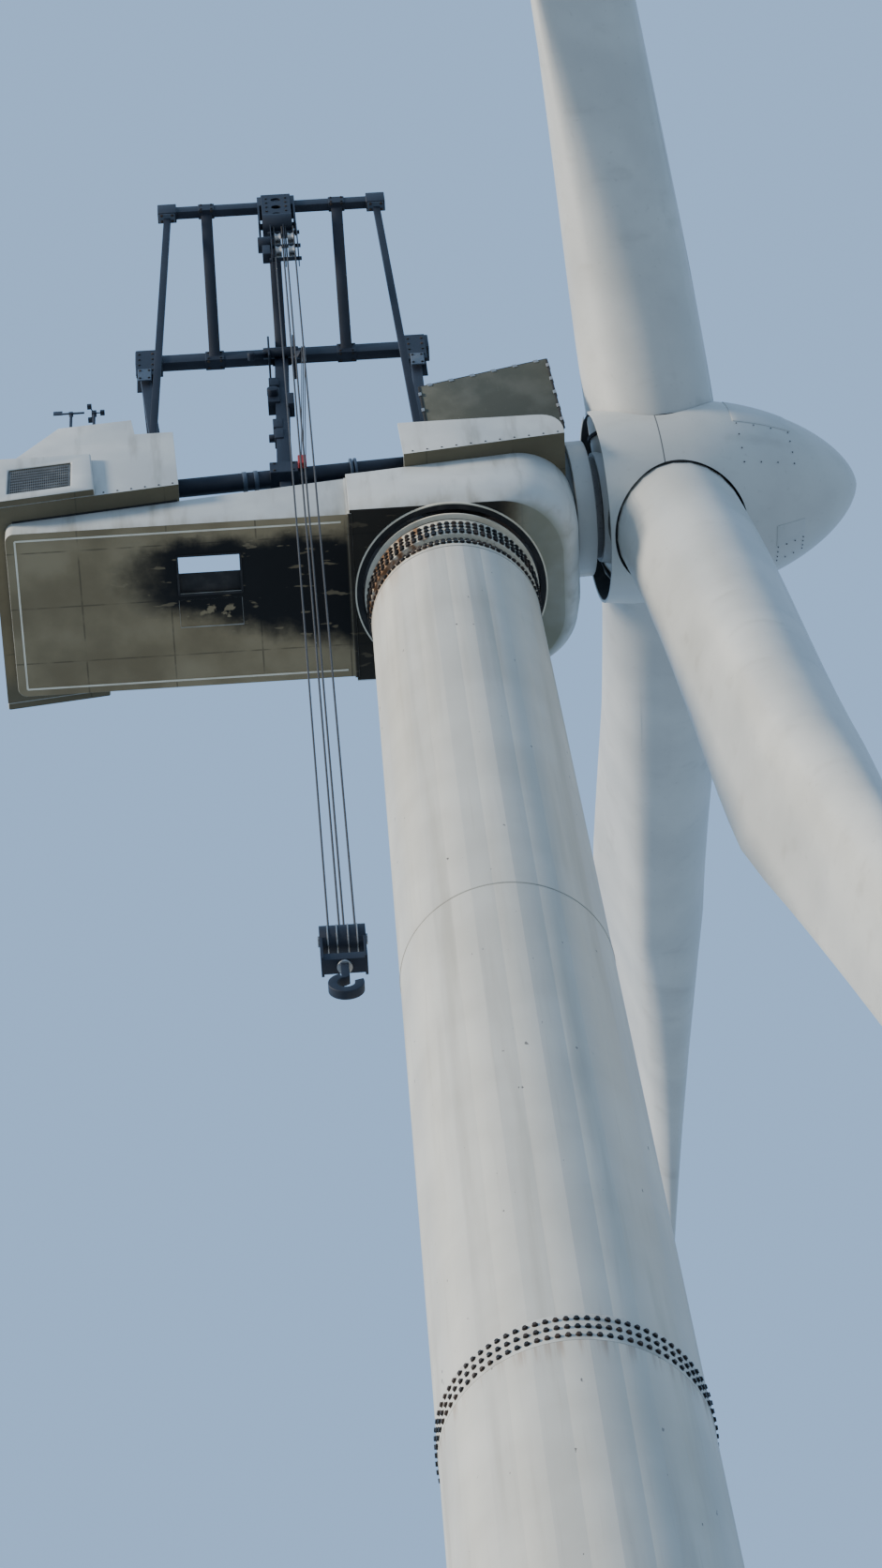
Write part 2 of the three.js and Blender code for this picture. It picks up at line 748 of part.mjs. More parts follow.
function baseZ(x) {
  const [x0, z0] = BASE_TUBE.rear;
  const [x1, z1] = BASE_TUBE.front;
  return z0 + ((z1 - z0) * (x - x0)) / (x1 - x0);
}

function baseTube(side, grow) {
  const width = 2 * BASE_TUBE.r + grow;
  return bar(baseRear(side), baseFront(side), width, width, 20);
}

// One long tube on three posts that stand on the bedplate's girder.
function craneBase(side) {
  const posts = BASE_POSTS.map((x) => {
    const ya = side > 0 ? 900 : -1100;
    const foot = box(x - 80, x + 80, ya, ya + 200, GIRDER.z1 + GAP, baseZ(x));
    return foot;
  });
  return joined([baseTube(side, 0), ...posts]);
}

function beam(spec, ends, grow) {
  const { x0, x1, y, z, w, h } = spec;
  const rail = box(x0, x1, y - (w + grow) / 2, y + (w + grow) / 2, z - (h + grow) / 2, z + (h + grow) / 2);
  const blocks = [x0 + ends.l / 2, x1 - ends.l / 2].map((x) =>
    block([x, y, z], ends.l + grow, ends.w + grow, ends.h + grow),
  );
  return joined([rail, ...blocks]);
}

const lowerBeam = (grow) => beam(LOWER_BEAM, LOWER_BLOCK, grow);
const upperBeam = (grow) => beam(UPPER_BEAM, UPPER_BLOCK, grow);

function leg(end, grow) {
  const [foot, top] = LEG[end];
  return bar([foot, -BASE_TUBE.y, baseZ(foot)], [top, LOWER_BEAM.y, LOWER_BEAM.z], 160 + grow, 150 + grow);
}

// Raking leg to the far base tube.
function backLeg(end, grow) {
  const [foot, top] = LEG[end];
  return bar([foot, BASE_TUBE.y, baseZ(foot)], [top, LOWER_BEAM.y, LOWER_BEAM.z], 120 + grow, 120 + grow);
}

// Long strut from the near base tube to the upper beam's end.
function longStrut(end) {
  const [foot, top] = STRUT[end];
  return bar([foot, 60 - BASE_TUBE.y, baseZ(foot)], [top, UPPER_BEAM.y, UPPER_BEAM.z], 100, 100);
}

function post(end) {
  const x = POST_X[end];
  return bar([x, LOWER_BEAM.y, LOWER_BEAM.z], [x, UPPER_BEAM.y, UPPER_BEAM.z], 165, 165);
}

function mast(grow) {
  const [foot, top] = MAST_X;
  const head = [top, LOWER_BEAM.y, LOWER_BEAM.z + 2 * grow];
  return bar([foot, -BASE_TUBE.y, baseZ(foot)], head, 220 + grow, 200 + grow);
}

function boom() {
  const x = MAST_X[1];
  return bar([x, LOWER_BEAM.y, LOWER_BEAM.z], [x, UPPER_BEAM.y, UPPER_BEAM.z], 190, 170);
}

// Head on the upper beam: a saddle and two cheek plates that carry the upper sheave pin.
function craneHead() {
  const { x0, x1, w, up, down, plate } = HEAD;
  const { y, z } = UPPER_BEAM;
  const saddle = box(x0, x1, y - w / 2, y + w / 2, z - 200, z + up);
  const cheeks = [x0, x1 - plate].map((x) => box(x, x + plate, y - w / 2, y + w / 2, z - down, z));
  const axle = z - down + HEAD.pin;
  const pin = drum(50, x0, x1, 14).rotate([0, 90, 0]).translate([0, y, axle]);
  const sheave = drum(HEAD.sheave, x0 + 60, x1 - 60, 24).rotate([0, 90, 0]).translate([0, y, axle]);
  return joined([saddle, ...cheeks, pin, sheave]);
}

// Rope falls of one tackle between two becket plates.
function falls(x) {
  const { y, spread, r, low } = FALLS;
  const top = FALLS_TOP;
  const lines = [-spread, spread].flatMap((dx) =>
    [-spread, spread].map((dy) => drum(r, low + GAP, top, 6).translate([x + dx, y + dy, 0])),
  );
  const reach = spread + r + 9;
  const plates = [low + GAP, top - 40].map((z) => box(x - reach, x + reach, y - reach, y + reach, z, z + 40));
  return joined([...plates, ...lines]);
}

// Lower block: two cheeks, sheaves between them and a swivel below.
function hookBlock() {
  const x = (FALLS.x[0] + FALLS.x[1]) / 2;
  const { half, w, h } = BLOCK;
  const top = FALLS.low;
  const cheek = (xa) => box(xa, xa + 30, FALLS.y - w / 2, FALLS.y + w / 2, top - h, top - 60);
  const cheeks = [x - half, x + half - 30].map(cheek);
  const sheaves = drum(170, x - half, x + half, 24).rotate([0, 90, 0]).translate([0, FALLS.y, top - 170]);
  const swivel = box(x - half, x + half, FALLS.y - 90, FALLS.y + 90, top - h, top - h + 130);
  return joined([...cheeks, sheaves, swivel]);
}

// Hook cut from plate: a shank and an open round.
function hook() {
  const x = (FALLS.x[0] + FALLS.x[1]) / 2;
  const top = FALLS.low - BLOCK.h - GAP;
  const bowl = new THREE.Shape();
  const middle = top - HOOK_H + 200;
  bowl.moveTo(x - 45, top);
  bowl.lineTo(x - 45, middle + 130);
  bowl.absarc(x, middle, 195, Math.PI * 0.6, Math.PI * 2.1, false);
  bowl.absarc(x, middle, 95, Math.PI * 2.1, Math.PI * 0.5, true);
  bowl.lineTo(x + 45, middle + 130);
  bowl.lineTo(x + 45, top);
  return across(bowl, FALLS.y - 55, FALLS.y + 55, 14);
}

const FINISHES = {
  shell: { color: 0xb9bfbd, roughness: 0.45, metalness: 0.0 },
  tower: { color: 0xc3c2b8, roughness: 0.5, metalness: 0.0 },
  steel: { color: 0x6d6f70, roughness: 0.5, metalness: 0.7 },
  dark: { color: 0x1b2633, roughness: 0.5, metalness: 0.2 },
  rope: { color: 0x22252a, roughness: 0.8, metalness: 0.3 },
  grille: { color: 0x555a58, roughness: 0.7, metalness: 0.2 },
};

function add(group, name, solid, finish) {
  const mesh = new THREE.Mesh(toGeometry(solid), new THREE.MeshStandardMaterial(FINISHES[finish]));
  mesh.name = name;
  group.add(mesh);
}

const turbine = new THREE.Group();
const nacelle = new THREE.Group();
nacelle.position.z = TOWER_H;
turbine.add(nacelle);
const rotor = new THREE.Group();
rotor.position.set(HUB.x, 0, HUB.z);
rotor.rotation.y = -TILT;
nacelle.add(rotor);

add(turbine, "tower_shell", towerShell(), "tower");
add(turbine, "tower_base_flange", towerBaseFlange(), "tower");
add(nacelle, "tower_top_flange", ring(RING_BORE_R, TOWER_TOP_R, GAP, TOP_FLANGE_H, ROUND), "steel");
add(nacelle, "yaw_gear_ring", ring(RING_BORE_R, GEAR_R, TOP_FLANGE_H + GAP, GEAR_TOP, ROUND), "steel");
add(nacelle, "yaw_bearing_ring", ring(RING_BORE_R, BEARING_R, GEAR_TOP + RUN, BEARING_TOP, ROUND), "steel");

add(nacelle, "bedplate", bedplate(), "steel");
const frontFoot = { x0: 1020, x1: 1500, half: 560, z1: 3200 };
const rearFoot = { x0: -560, x1: -140, half: 500, z1: 3000 };
const rearBore = SHAFT_R + RUN;
const frontBearing = shaftBearing(-2200, COLLAR.rear - GAP, 430, 900, frontFoot, ROUND);
add(nacelle, "main_bearing_front", frontBearing, "steel");
add(nacelle, "main_bearing_rear", shaftBearing(-3760, -3380, rearBore, 640, rearFoot, 64), "steel");
const collarRing = shaftRing(COLLAR.inner, COLLAR.outer, COLLAR.rear, COLLAR.front, ROUND);
add(nacelle, "front_collar", collarRing, "shell");
add(nacelle, "gearbox_foot_near", gearboxFoot(-1), "steel");
add(nacelle, "gearbox_foot_far", gearboxFoot(1), "steel");
add(nacelle, "generator", generator(), "steel");

add(nacelle, "tub_rear", tubRear(), "shell");
add(nacelle, "tub_front", tubFront(), "shell");
add(nacelle, "rear_cover", rearCover(), "shell");
add(nacelle, "front_cover", frontCover().add(bearingCowl()), "shell");
add(nacelle, "louvre_frame_near", louvreFrame(-1), "shell");
add(nacelle, "louvre_frame_far", louvreFrame(1), "shell");
add(nacelle, "louvre_grille_near", louvreGrille(-1), "grille");
add(nacelle, "louvre_grille_far", louvreGrille(1), "grille");
add(nacelle, "roof_lid", roofLid(0), "shell");
add(nacelle, "lid_bracket_rear", lidBracket(180), "dark");
add(nacelle, "lid_bracket_front", lidBracket(1160), "dark");
add(nacelle, "wind_vane_mast", instrumentMast(-5190, 760, vaneHead), "dark");
add(nacelle, "anemometer_mast", instrumentMast(-4860, 680, anemometerHead), "dark");

const lowerGrown = lowerBeam(2 * GAP);
const upperGrown = upperBeam(2 * GAP);
const nearGrown = baseTube(-1, 2 * GAP);
const farGrown = baseTube(1, 2 * GAP);
add(nacelle, "crane_base_near", craneBase(-1), "dark");
add(nacelle, "crane_base_far", craneBase(1), "dark");
add(nacelle, "crane_lower_beam", lowerBeam(0), "dark");
add(nacelle, "crane_upper_beam", upperBeam(0), "dark");
const headGrown = craneHead().add(box(HEAD.x0 - GAP, HEAD.x1 + GAP, -2830, -2570, 8770 - GAP, 9130 + GAP));
add(nacelle, "crane_head", cut(craneHead(), [upperGrown]), "dark");
for (const end of ["rear", "front"]) {
  add(nacelle, "crane_leg_" + end, cut(leg(end, 0), [nearGrown, lowerGrown]), "dark");
  const rear = cut(backLeg(end, 0), [farGrown, lowerGrown, leg(end, 2 * GAP)]);
  add(nacelle, "crane_back_leg_" + end, rear, "dark");
  const strut = cut(longStrut(end), [nearGrown, upperGrown, leg(end, 2 * GAP)]);
  add(nacelle, "crane_strut_" + end, largest(strut), "dark");
  add(nacelle, "crane_post_" + end, largest(cut(post(end), [lowerGrown, upperGrown])), "dark");
}
add(nacelle, "crane_mast", cut(mast(0), [nearGrown, lowerGrown]), "dark");
const boomCut = cut(boom(), [lowerGrown, upperGrown, mast(2 * GAP), headGrown]);
add(nacelle, "crane_boom", largest(boomCut), "dark");
add(nacelle, "tackle_ropes_rear", falls(FALLS.x[0]), "rope");
add(nacelle, "tackle_ropes_front", falls(FALLS.x[1]), "rope");
add(nacelle, "hook_block", hookBlock(), "dark");
add(nacelle, "hook", hook(), "dark");

add(rotor, "spinner", spinner(), "shell");
add(rotor, "main_shaft", mainShaft(), "steel");
for (const [letter, seat] of Object.entries(BLADES)) {
  add(rotor, "blade_" + letter, blade(seat), "shell");
}

export default turbine;
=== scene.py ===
"""Looks of a wind turbine nacelle on its top tower section, open for service.

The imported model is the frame. Each sub-assembly below keeps, refines or replaces its pieces and
gives them their finishes. Lengths are metres; +Z is up the tower and +X points at the rotor.
Heights are given above the tower's top edge, except in the tower's own section.
"""

from __future__ import annotations

import logging
import math
from collections.abc import Iterable, Iterator
from contextlib import contextmanager
from dataclasses import dataclass
from enum import Enum
from functools import cache
from itertools import chain, product

import bpy
from mathutils import Matrix, Vector


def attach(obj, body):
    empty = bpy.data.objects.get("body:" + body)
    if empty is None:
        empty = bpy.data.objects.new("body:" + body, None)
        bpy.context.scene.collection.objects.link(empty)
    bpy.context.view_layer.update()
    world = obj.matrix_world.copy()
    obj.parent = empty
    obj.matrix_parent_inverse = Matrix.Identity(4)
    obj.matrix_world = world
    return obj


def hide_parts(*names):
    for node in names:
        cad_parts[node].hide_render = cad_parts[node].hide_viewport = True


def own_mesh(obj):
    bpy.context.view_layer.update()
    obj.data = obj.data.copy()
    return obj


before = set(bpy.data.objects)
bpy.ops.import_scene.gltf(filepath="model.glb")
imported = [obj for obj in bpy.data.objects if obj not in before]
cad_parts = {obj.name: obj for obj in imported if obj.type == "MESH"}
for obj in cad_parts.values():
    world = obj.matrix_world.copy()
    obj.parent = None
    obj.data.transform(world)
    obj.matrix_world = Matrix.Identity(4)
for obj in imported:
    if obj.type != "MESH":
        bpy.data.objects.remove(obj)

log = logging.getLogger("nacelle")

Piece = bpy.types.Object
Material = bpy.types.Material
Colour = tuple[float, float, float]
Point = tuple[float, float, float]
Outline = list[tuple[float, float]]

TOWER_TOP = 22.7
HUB_X = 3.21
HUB_Z = 3.46
SHAFT_TILT = math.radians(4.5)
EAVE_TAIL_X = -6.07
EAVE_TAIL_Z = 1.31
EAVE_SLOPE = 0.179
EVEN = (1.0, 1.0, 1.0)
DOUBLES = 1e-5
BUMP_STRENGTH = 0.6
RING_BOLT_HEIGHT = 0.022
BOLT_INSET = 0.17
AHEAD = Vector((1, 0, 0))
NEARWARD = Vector((0, -1, 0))
DOWNWARD = Vector((0, 0, -1))


def lifted(x: float, y: float, z: float) -> Vector:
    """A point given by its height above the tower's top edge."""
    return Vector((x, y, z + TOWER_TOP))


def eave(x: float) -> float:
    """Height of the slanting eave line above the tower's top edge."""
    return EAVE_TAIL_Z + EAVE_SLOPE * (x - EAVE_TAIL_X)


def turned_to(direction: Vector, place: Vector, spin: float = 0.0) -> Matrix:
    """The place of a shape whose z axis is turned to a direction, after a turn about itself."""
    turn = direction.normalized().to_track_quat("Z", "Y").to_matrix().to_4x4()
    return Matrix.Translation(place) @ turn @ Matrix.Rotation(spin, 4, "Z")


class Side(Enum):
    """The two long sides of the nacelle."""

    NEAR = -1
    FAR = 1


class End(Enum):
    """The two ends of the crane's frame."""

    REAR = "rear"
    FRONT = "front"


class Body(Enum):
    """The bodies that pieces ride on."""

    TOWER = "tower"
    NACELLE = "nacelle"
    ROTOR = "rotor"
    TACKLE = "tackle"


# Finishes


class Wire:
    """One output in a finish's node graph, with the arithmetic that finishes are written in."""

    def __init__(self, board: Board, socket: bpy.types.NodeSocket) -> None:
        """Keep the socket and the board it is on."""
        self.board = board
        self.socket = socket

    def _math(self, operation: str, first: Wire | float, second: Wire | float = 0.0) -> Wire:
        """Add one Math node."""
        return self.board.node("ShaderNodeMath", {"operation": operation}, {0: first, 1: second})

    def __add__(self, other: Wire | float) -> Wire:
        """Sum."""
        return self._math("ADD", self, other)

    __radd__ = __add__

    def __sub__(self, other: Wire | float) -> Wire:
        """Difference."""
        return self._math("SUBTRACT", self, other)

    def __rsub__(self, other: float) -> Wire:
        """Difference from a number."""
        return self._math("SUBTRACT", other, self)

    def __mul__(self, other: Wire | float) -> Wire:
        """Product."""
        return self._math("MULTIPLY", self, other)

    __rmul__ = __mul__

    def over(self, other: Wire | float) -> Wire:
        """The larger of two values."""
        return self._math("MAXIMUM", self, other)

    def under(self, other: Wire | float) -> Wire:
        """The smaller of two values."""
        return self._math("MINIMUM", self, other)

    def size(self) -> Wire:
        """The value without its sign."""
        return self._math("ABSOLUTE", self)

    def fold(self, width: float) -> Wire:
        """Run up and down between 0 and a width."""
        return self._math("PINGPONG", self, width)

    def turn(self, other: Wire) -> Wire:
        """The angle of a point whose second coordinate this is."""
        return self._math("ARCTAN2", self, other)

    def rise(self, low: float, high: float) -> Wire:
        """Run smoothly from 0 at low to 1 at high."""
        sockets = {"Value": self, "From Min": low, "From Max": high}
        return self.board.node("ShaderNodeMapRange", {"interpolation_type": "SMOOTHSTEP"}, sockets)

    def within(self, low: float, high: float, edge: float = 0.05) -> Wire:
        """A mask that is full between two values."""
        return self.rise(low, low + edge) * (1.0 - self.rise(high - edge, high))


class Board:
    """The node graph of one finish."""

    def __init__(self, name: str) -> None:
        """Start an empty graph.

        Args:
            name: The material's name.
        """
        self.material = bpy.data.materials.new(name)
        self.material.use_nodes = True
        self.tree = self.material.node_tree
        self.tree.nodes.clear()

    def node(
        self,
        kind: str,
        settings: dict[str, object] | None = None,
        sockets: dict[int | str, object] | None = None,
        output: int | str = 0,
    ) -> Wire:
        """Add a node, its settings first and then its sockets.

        Args:
            kind: The node's type.
            settings: Properties of the node, such as an operation.
            sockets: Values or wires, by input name or number.
            output: The output that is used.

        Returns:
            That output.
        """
        made = self.tree.nodes.new(kind)
        for key, value in (settings or {}).items():
            setattr(made, key, value)
        for key, value in (sockets or {}).items():
            if isinstance(value, Wire):
                self.tree.links.new(value.socket, made.inputs[key])
            else:
                made.inputs[key].default_value = value
        return Wire(self, made.outputs[output])

    def place(self) -> Wire:
        """The surface point."""
        return self.node("ShaderNodeTexCoord", output="Object")

    def axis(self, letter: str) -> Wire:
        """One coordinate of the surface point, in metres."""
        return self.node("ShaderNodeSeparateXYZ", None, {0: self.place()}, letter)

    def facing(self, letter: str) -> Wire:
        """One coordinate of the surface's direction, from -1 to 1."""
        normal = self.node("ShaderNodeNewGeometry", output="Normal")
        return self.node("ShaderNodeSeparateXYZ", None, {0: normal}, letter)

    def noise(self, scale: float, stretch: Colour = EVEN, detail: float = 4.0, sharp: float = 0.5) -> Wire:
        """Cloudy variation over the surface.

        Args:
            scale: Spots per metre.
            stretch: How much the spots are squeezed along each axis.
            detail: Octaves of finer spots.
            sharp: Share of each finer octave.

        Returns:
            A value round one half.
        """
        moved = self.node("ShaderNodeMapping", None, {"Vector": self.place(), "Scale": stretch})
        sockets = {"Vector": moved, "Scale": scale, "Detail": detail, "Roughness": sharp}
        return self.node("ShaderNodeTexNoise", None, sockets)

    def blend(self, share: Wire | float, below: Wire | Colour, above: Wire | Colour) -> Wire:
        """Mix two colours.

        Args:
            share: How much of the second colour shows.
            below: The first colour.
            above: The second colour.

        Returns:
            The mixed colour.
        """
        first, second = (tone if isinstance(tone, Wire) else (*tone, 1.0) for tone in (below, above))
        return self.node("ShaderNodeMix", {"data_type": "RGBA"}, {0: share, 6: first, 7: second}, 2)

    def close(
        self,
        colour: Wire | Colour,
        roughness: Wire | float,
        metallic: Wire | float = 0.0,
        height: Wire | None = None,
        depth: float = 0.01,
    ) -> Material:
        """Finish the graph with its surface shader.

        Args:
            colour: Base colour.
            roughness: Roughness.
            metallic: Metal share.
            height: What the bump follows.
            depth: The bump's height in metres.

        Returns:
            The material.
        """
        base = colour if isinstance(colour, Wire) else (*colour, 1.0)
        sockets: dict[int | str, object] = {"Base Color": base}
        sockets.update(Roughness=roughness, Metallic=metallic)
        if height is not None:
            bump = {"Height": height, "Distance": depth, "Strength": BUMP_STRENGTH}
            sockets["Normal"] = self.node("ShaderNodeBump", None, bump)
        shader = self.node("ShaderNodeBsdfPrincipled", None, sockets)
        end = self.tree.nodes.new("ShaderNodeOutputMaterial")
        self.tree.links.new(shader.socket, end.inputs["Surface"])
        return self.material


@dataclass(frozen=True)
class HousingFinish:
    """Weathered glass fibre of the covers and tubs, with the floor's olive grime and soot, painted shade on
    the undersides and near-black painted shade under the eaves.
    """

    name: str = "housing_gel_coat"
    clean: Colour = (0.50, 0.50, 0.46)
    chalk: Colour = (0.60, 0.60, 0.55)
    streak: Colour = (0.24, 0.215, 0.155)
    floor: Colour = (0.20, 0.155, 0.085)
    tan: Colour = (0.30, 0.24, 0.14)
    line: Colour = (0.05, 0.04, 0.025)
    bowl: Colour = (0.24, 0.235, 0.17)
    bowl_pale: Colour = (0.34, 0.34, 0.28)
    eave_shade: Colour = (0.065, 0.062, 0.04)
    corner: Colour = (0.3, 0.26, 0.18)
    soot: Colour = (0.004, 0.004, 0.004)
    floor_span: tuple[float, float] = (TOWER_TOP + 1.05, TOWER_TOP + 1.15)
    corner_span: tuple[float, float] = (TOWER_TOP + 0.95, TOWER_TOP + 1.28)

    def make(self) -> Material:
        """Build the finish.

        Returns:
            The material.
        """
        board = Board(self.name)
        z = board.axis("Z")
        cloud = board.noise(1.1, detail=5.0)
        runs = board.noise(4.5, (1.0, 1.0, 0.12), 4.0)
        side = board.blend(cloud.rise(0.35, 0.7), self.clean, self.chalk)
        side = board.blend(runs.rise(0.52, 0.78) * 0.55, side, self.streak)
        # Downward faces take the brown grime colours: partly real grime, partly painted shade on the
        # undersides.
        under = (0.0 - board.facing("Z")).rise(0.6, 0.92)
        low = 1.0 - z.rise(*self.floor_span)
        tan = board.blend(board.noise(0.9, detail=7.0).rise(0.36, 0.68), self.floor, self.tan)
        tan = board.blend(self._seams(board) * 0.6, tan, self.line)
        bowl = board.blend(cloud.rise(0.3, 0.7), self.bowl, self.bowl_pale)
        tan = board.blend(low * board.axis("X").rise(0.75, 1.2), tan, bowl)
        # Downward faces above the floor, under the eaves, go near black: painted shade.
        tan = board.blend((1.0 - low) * 0.65, tan, self.eave_shade)
        tan = board.blend(low * self._soot(board), tan, self.soot)
        corner = (1.0 - z.rise(*self.corner_span)) * (1.0 - under) * runs.rise(0.3, 0.7)
        colour = board.blend(corner * 0.5, board.blend(under, side, tan), self.corner)
        roughness = (0.34 + cloud * 0.25 + under * 0.5).under(0.95)
        return board.close(colour, roughness, 0.0, board.noise(9.0, detail=3.0), 0.0015)

    def _soot(self, board: Board) -> Wire:
        """The smoke stain round the floor hatch and on the front floor.

        Args:
            board: The finish's graph.

        Returns:
            A mask of the stain.
        """
        x, y = board.axis("X"), board.axis("Y")
        ragged = (board.noise(1.7, detail=8.0, sharp=0.6) - 0.5) * 1.3
        rear = (x + ragged * 0.8).rise(-4.75, -3.85)
        far = 1.0 - (y - x * 0.24 + ragged * 0.5).rise(0.85, 1.25)
        near = (y + ragged * 0.45).rise(-1.12, -0.82)
        cloud = rear * far * near * (1.0 - x.rise(-1.42, -1.36))
        patch = board.noise(5.5, detail=6.0).rise(0.56, 0.6) * x.within(-3.7, -2.85) * y.within(0.0, 0.3)
        scuff = board.noise(9.0, (0.3, 1.0, 1.0), 3.0).rise(0.62, 0.66) * 0.5
        front = x.rise(-1.4, -1.36) * (1.0 - (x + y * 0.25 + ragged * 0.3).rise(0.35, 0.85)) * 0.93
        return cloud * (1.0 - patch * 0.9) * (1.0 - scuff) + front * (1.0 - scuff * 0.4)

    def _seams(self, board: Board) -> Wire:
        """Fine lay-up lines across the floor.

        Args:
            board: The finish's graph.

        Returns:
            A mask of the lines.
        """
        across = 1.0 - (board.axis("X") + 0.21).fold(0.61).rise(0.004, 0.016)
        along = 1.0 - (board.axis("Y") + 0.1).fold(0.42).rise(0.004, 0.014)
        return across.over(along) * board.noise(3.0).rise(0.35, 0.6)


@dataclass(frozen=True)
class TowerFinish:
    """Cream tower paint in faint upright facets with painted shade graded across each facet, with rain runs,
    rusty near the ring.
    """

    name: str = "tower_paint"
    clean: Colour = (0.49, 0.465, 0.39)
    pale: Colour = (0.57, 0.55, 0.475)
    dirt: Colour = (0.30, 0.275, 0.215)
    dust: Colour = (0.42, 0.39, 0.32)
    speck: Colour = (0.06, 0.05, 0.04)
    shade: Colour = (0.36, 0.37, 0.36)
    rust: Colour = (0.25, 0.14, 0.07)
    folds: int = 15

    def make(self) -> Material:
        """Build the finish.

        Returns:
            The material.
        """
        board = Board(self.name)
        x, z = board.axis("X"), board.axis("Z")
        cloud = board.noise(0.7, detail=5.0)
        runs = board.noise(3.2, (1.0, 1.0, 0.05), 5.0)
        thin = board.noise(14.0, (1.0, 1.0, 0.03), 3.0)
        specks = board.noise(9.0, (1.0, 1.0, 0.5), 3.0)
        fold = math.pi / self.folds
        facets = board.axis("Y").turn(x).fold(fold) * (1 / fold)
        top = z.rise(TOWER_TOP - 0.8, TOWER_TOP + 0.05) * (1.0 - x.rise(-0.9, 0.2))
        joint = z.rise(3.35, 3.7) * (1.0 - z.rise(4.15, 4.2))
        colour = board.blend(cloud.rise(0.3, 0.7), self.clean, self.pale)
        for share, above in (
            (runs.rise(0.5, 0.74) * 0.45, self.dirt),
            (thin.rise(0.6, 0.75) * 0.3, self.dust),
            (specks.rise(0.735, 0.75) * 0.8, self.speck),
            # Painted shade: the upright strips grade between lighter and darker, as lit facets would.
            (facets.rise(0.0, 1.0) * 0.22, self.shade),
            (top * runs.rise(0.35, 0.65) * 0.6, self.rust),
            (joint * thin.rise(0.45, 0.7) * 0.5, self.rust),
        ):
            colour = board.blend(share, colour, above)
        return board.close(colour, 0.36 + cloud * 0.25, 0.0, facets + thin * 0.04, 0.03)


@dataclass(frozen=True)
class Coat:
    """A layer of colour that shows where a noise runs high."""

    colour: Colour
    share: float
    low: float
    high: float
    scale: float
    stretch: Colour = EVEN
    detail: float = 4.0
    sharp: float = 0.5


@dataclass(frozen=True)
class CoatedFinish:
    """Paint, gel coat, rubber or steel under coats of wear, with a dark seam where one is given.

    Its roughness follows the first coat's noise by the spread, or, where patch is given, the first coat
    itself, which then also takes metal away.
    """

    name: str
    base: Colour
    coats: tuple[Coat, ...]
    roughness: float
    spread: float = 0.2
    bump: float = 0.001
    seam: float | None = None
    seam_colour: Colour = (0.06, 0.055, 0.05)
    metal: float = 0.0
    patch: tuple[float, float] | None = None

    def make(self) -> Material:
        """Build the finish.

        Returns:
            The material.
        """
        board = Board(self.name)
        colour: Wire | Colour = self.base
        noises, masks = [], []
        for coat in self.coats:
            noises.append(board.noise(coat.scale, coat.stretch, coat.detail, coat.sharp))
            masks.append(noises[-1].rise(coat.low, coat.high) * coat.share)
            colour = board.blend(masks[-1], colour, coat.colour)
        if self.seam is not None:
            level, rise = math.cos(SHAFT_TILT), math.sin(SHAFT_TILT)
            ahead = (board.axis("X") - HUB_X) * level + (board.axis("Z") - TOWER_TOP - HUB_Z) * rise
            line = 1.0 - (ahead - self.seam).size().rise(0.006, 0.012)
            colour = board.blend(line * 0.85, colour, self.seam_colour)
        rough, metal = self.roughness, self.metal
        if self.patch is not None:
            rough, metal = rough + masks[0] * self.patch[0], metal - masks[0] * self.patch[1]
        elif self.spread:
            rough = rough + noises[0] * self.spread
        return board.close(colour, rough, metal, noises[:2][-1], self.bump)


def gel_coat(name: str, clean: Colour, pale: Colour, seam: float | None = None) -> CoatedFinish:
    """Satin off-white gel coat with dust and smears.

    Args:
        name: The material's name.
        clean: Its colour.
        pale: Its paler patches.
        seam: Where a seam runs round, ahead of the hub's centre.

    Returns:
        The finish.
    """
    dirt = (0.32, 0.295, 0.235)
    dust = Coat(dirt, 0.25, 0.62, 0.8, 12.0, detail=3.0)
    smear = Coat(dirt, 0.35, 0.56, 0.8, 2.4, (0.4, 1.0, 1.0), 5.0)
    patches = Coat(pale, 1.0, 0.32, 0.7, 0.8, detail=6.0)
    return CoatedFinish(name, clean, (patches, dust, smear), 0.3, bump=0.0008, seam=seam)


def paint(name: str, base: Colour, worn: Colour, wear: float = 0.35, rough: float = 0.42) -> CoatedFinish:
    """Machine paint, scuffed through to another coat in places."""
    scratches = Coat(worn, wear, 0.66, 0.74, 22.0, (1.0, 1.0, 0.3), 4.0, 0.6)
    return CoatedFinish(name, base, (Coat(worn, wear, 0.4, 0.75, 2.5, detail=5.0), scratches), rough)


def dull(name: str, base: Colour, dust: Colour, roughness: float = 0.75) -> CoatedFinish:
    """Rubber, sealant and other dull stuff with a little dust."""
    return CoatedFinish(name, base, (Coat(dust, 0.5, 0.45, 0.8, 6.0),), roughness, 0.0)


def steel(name: str, base: Colour, rust: Colour, share: float = 0.5, metal: float = 0.7) -> CoatedFinish:
    """Oiled or rusty bare steel.

    Args:
        name: The material's name.
        base: Its colour.
        rust: The rust's colour.
        share: How much of the rust shows.
        metal: Metal share of the clean steel.

    Returns:
        The finish.
    """
    grime = Coat((0.05, 0.045, 0.04), 0.4, 0.5, 0.8, 40.0, detail=3.0)
    coats = (Coat(rust, share, 0.42, 0.66, 3.0, detail=6.0), grime)
    return CoatedFinish(name, base, coats, 0.42, 0.0, metal=metal, patch=(0.4, 0.6))


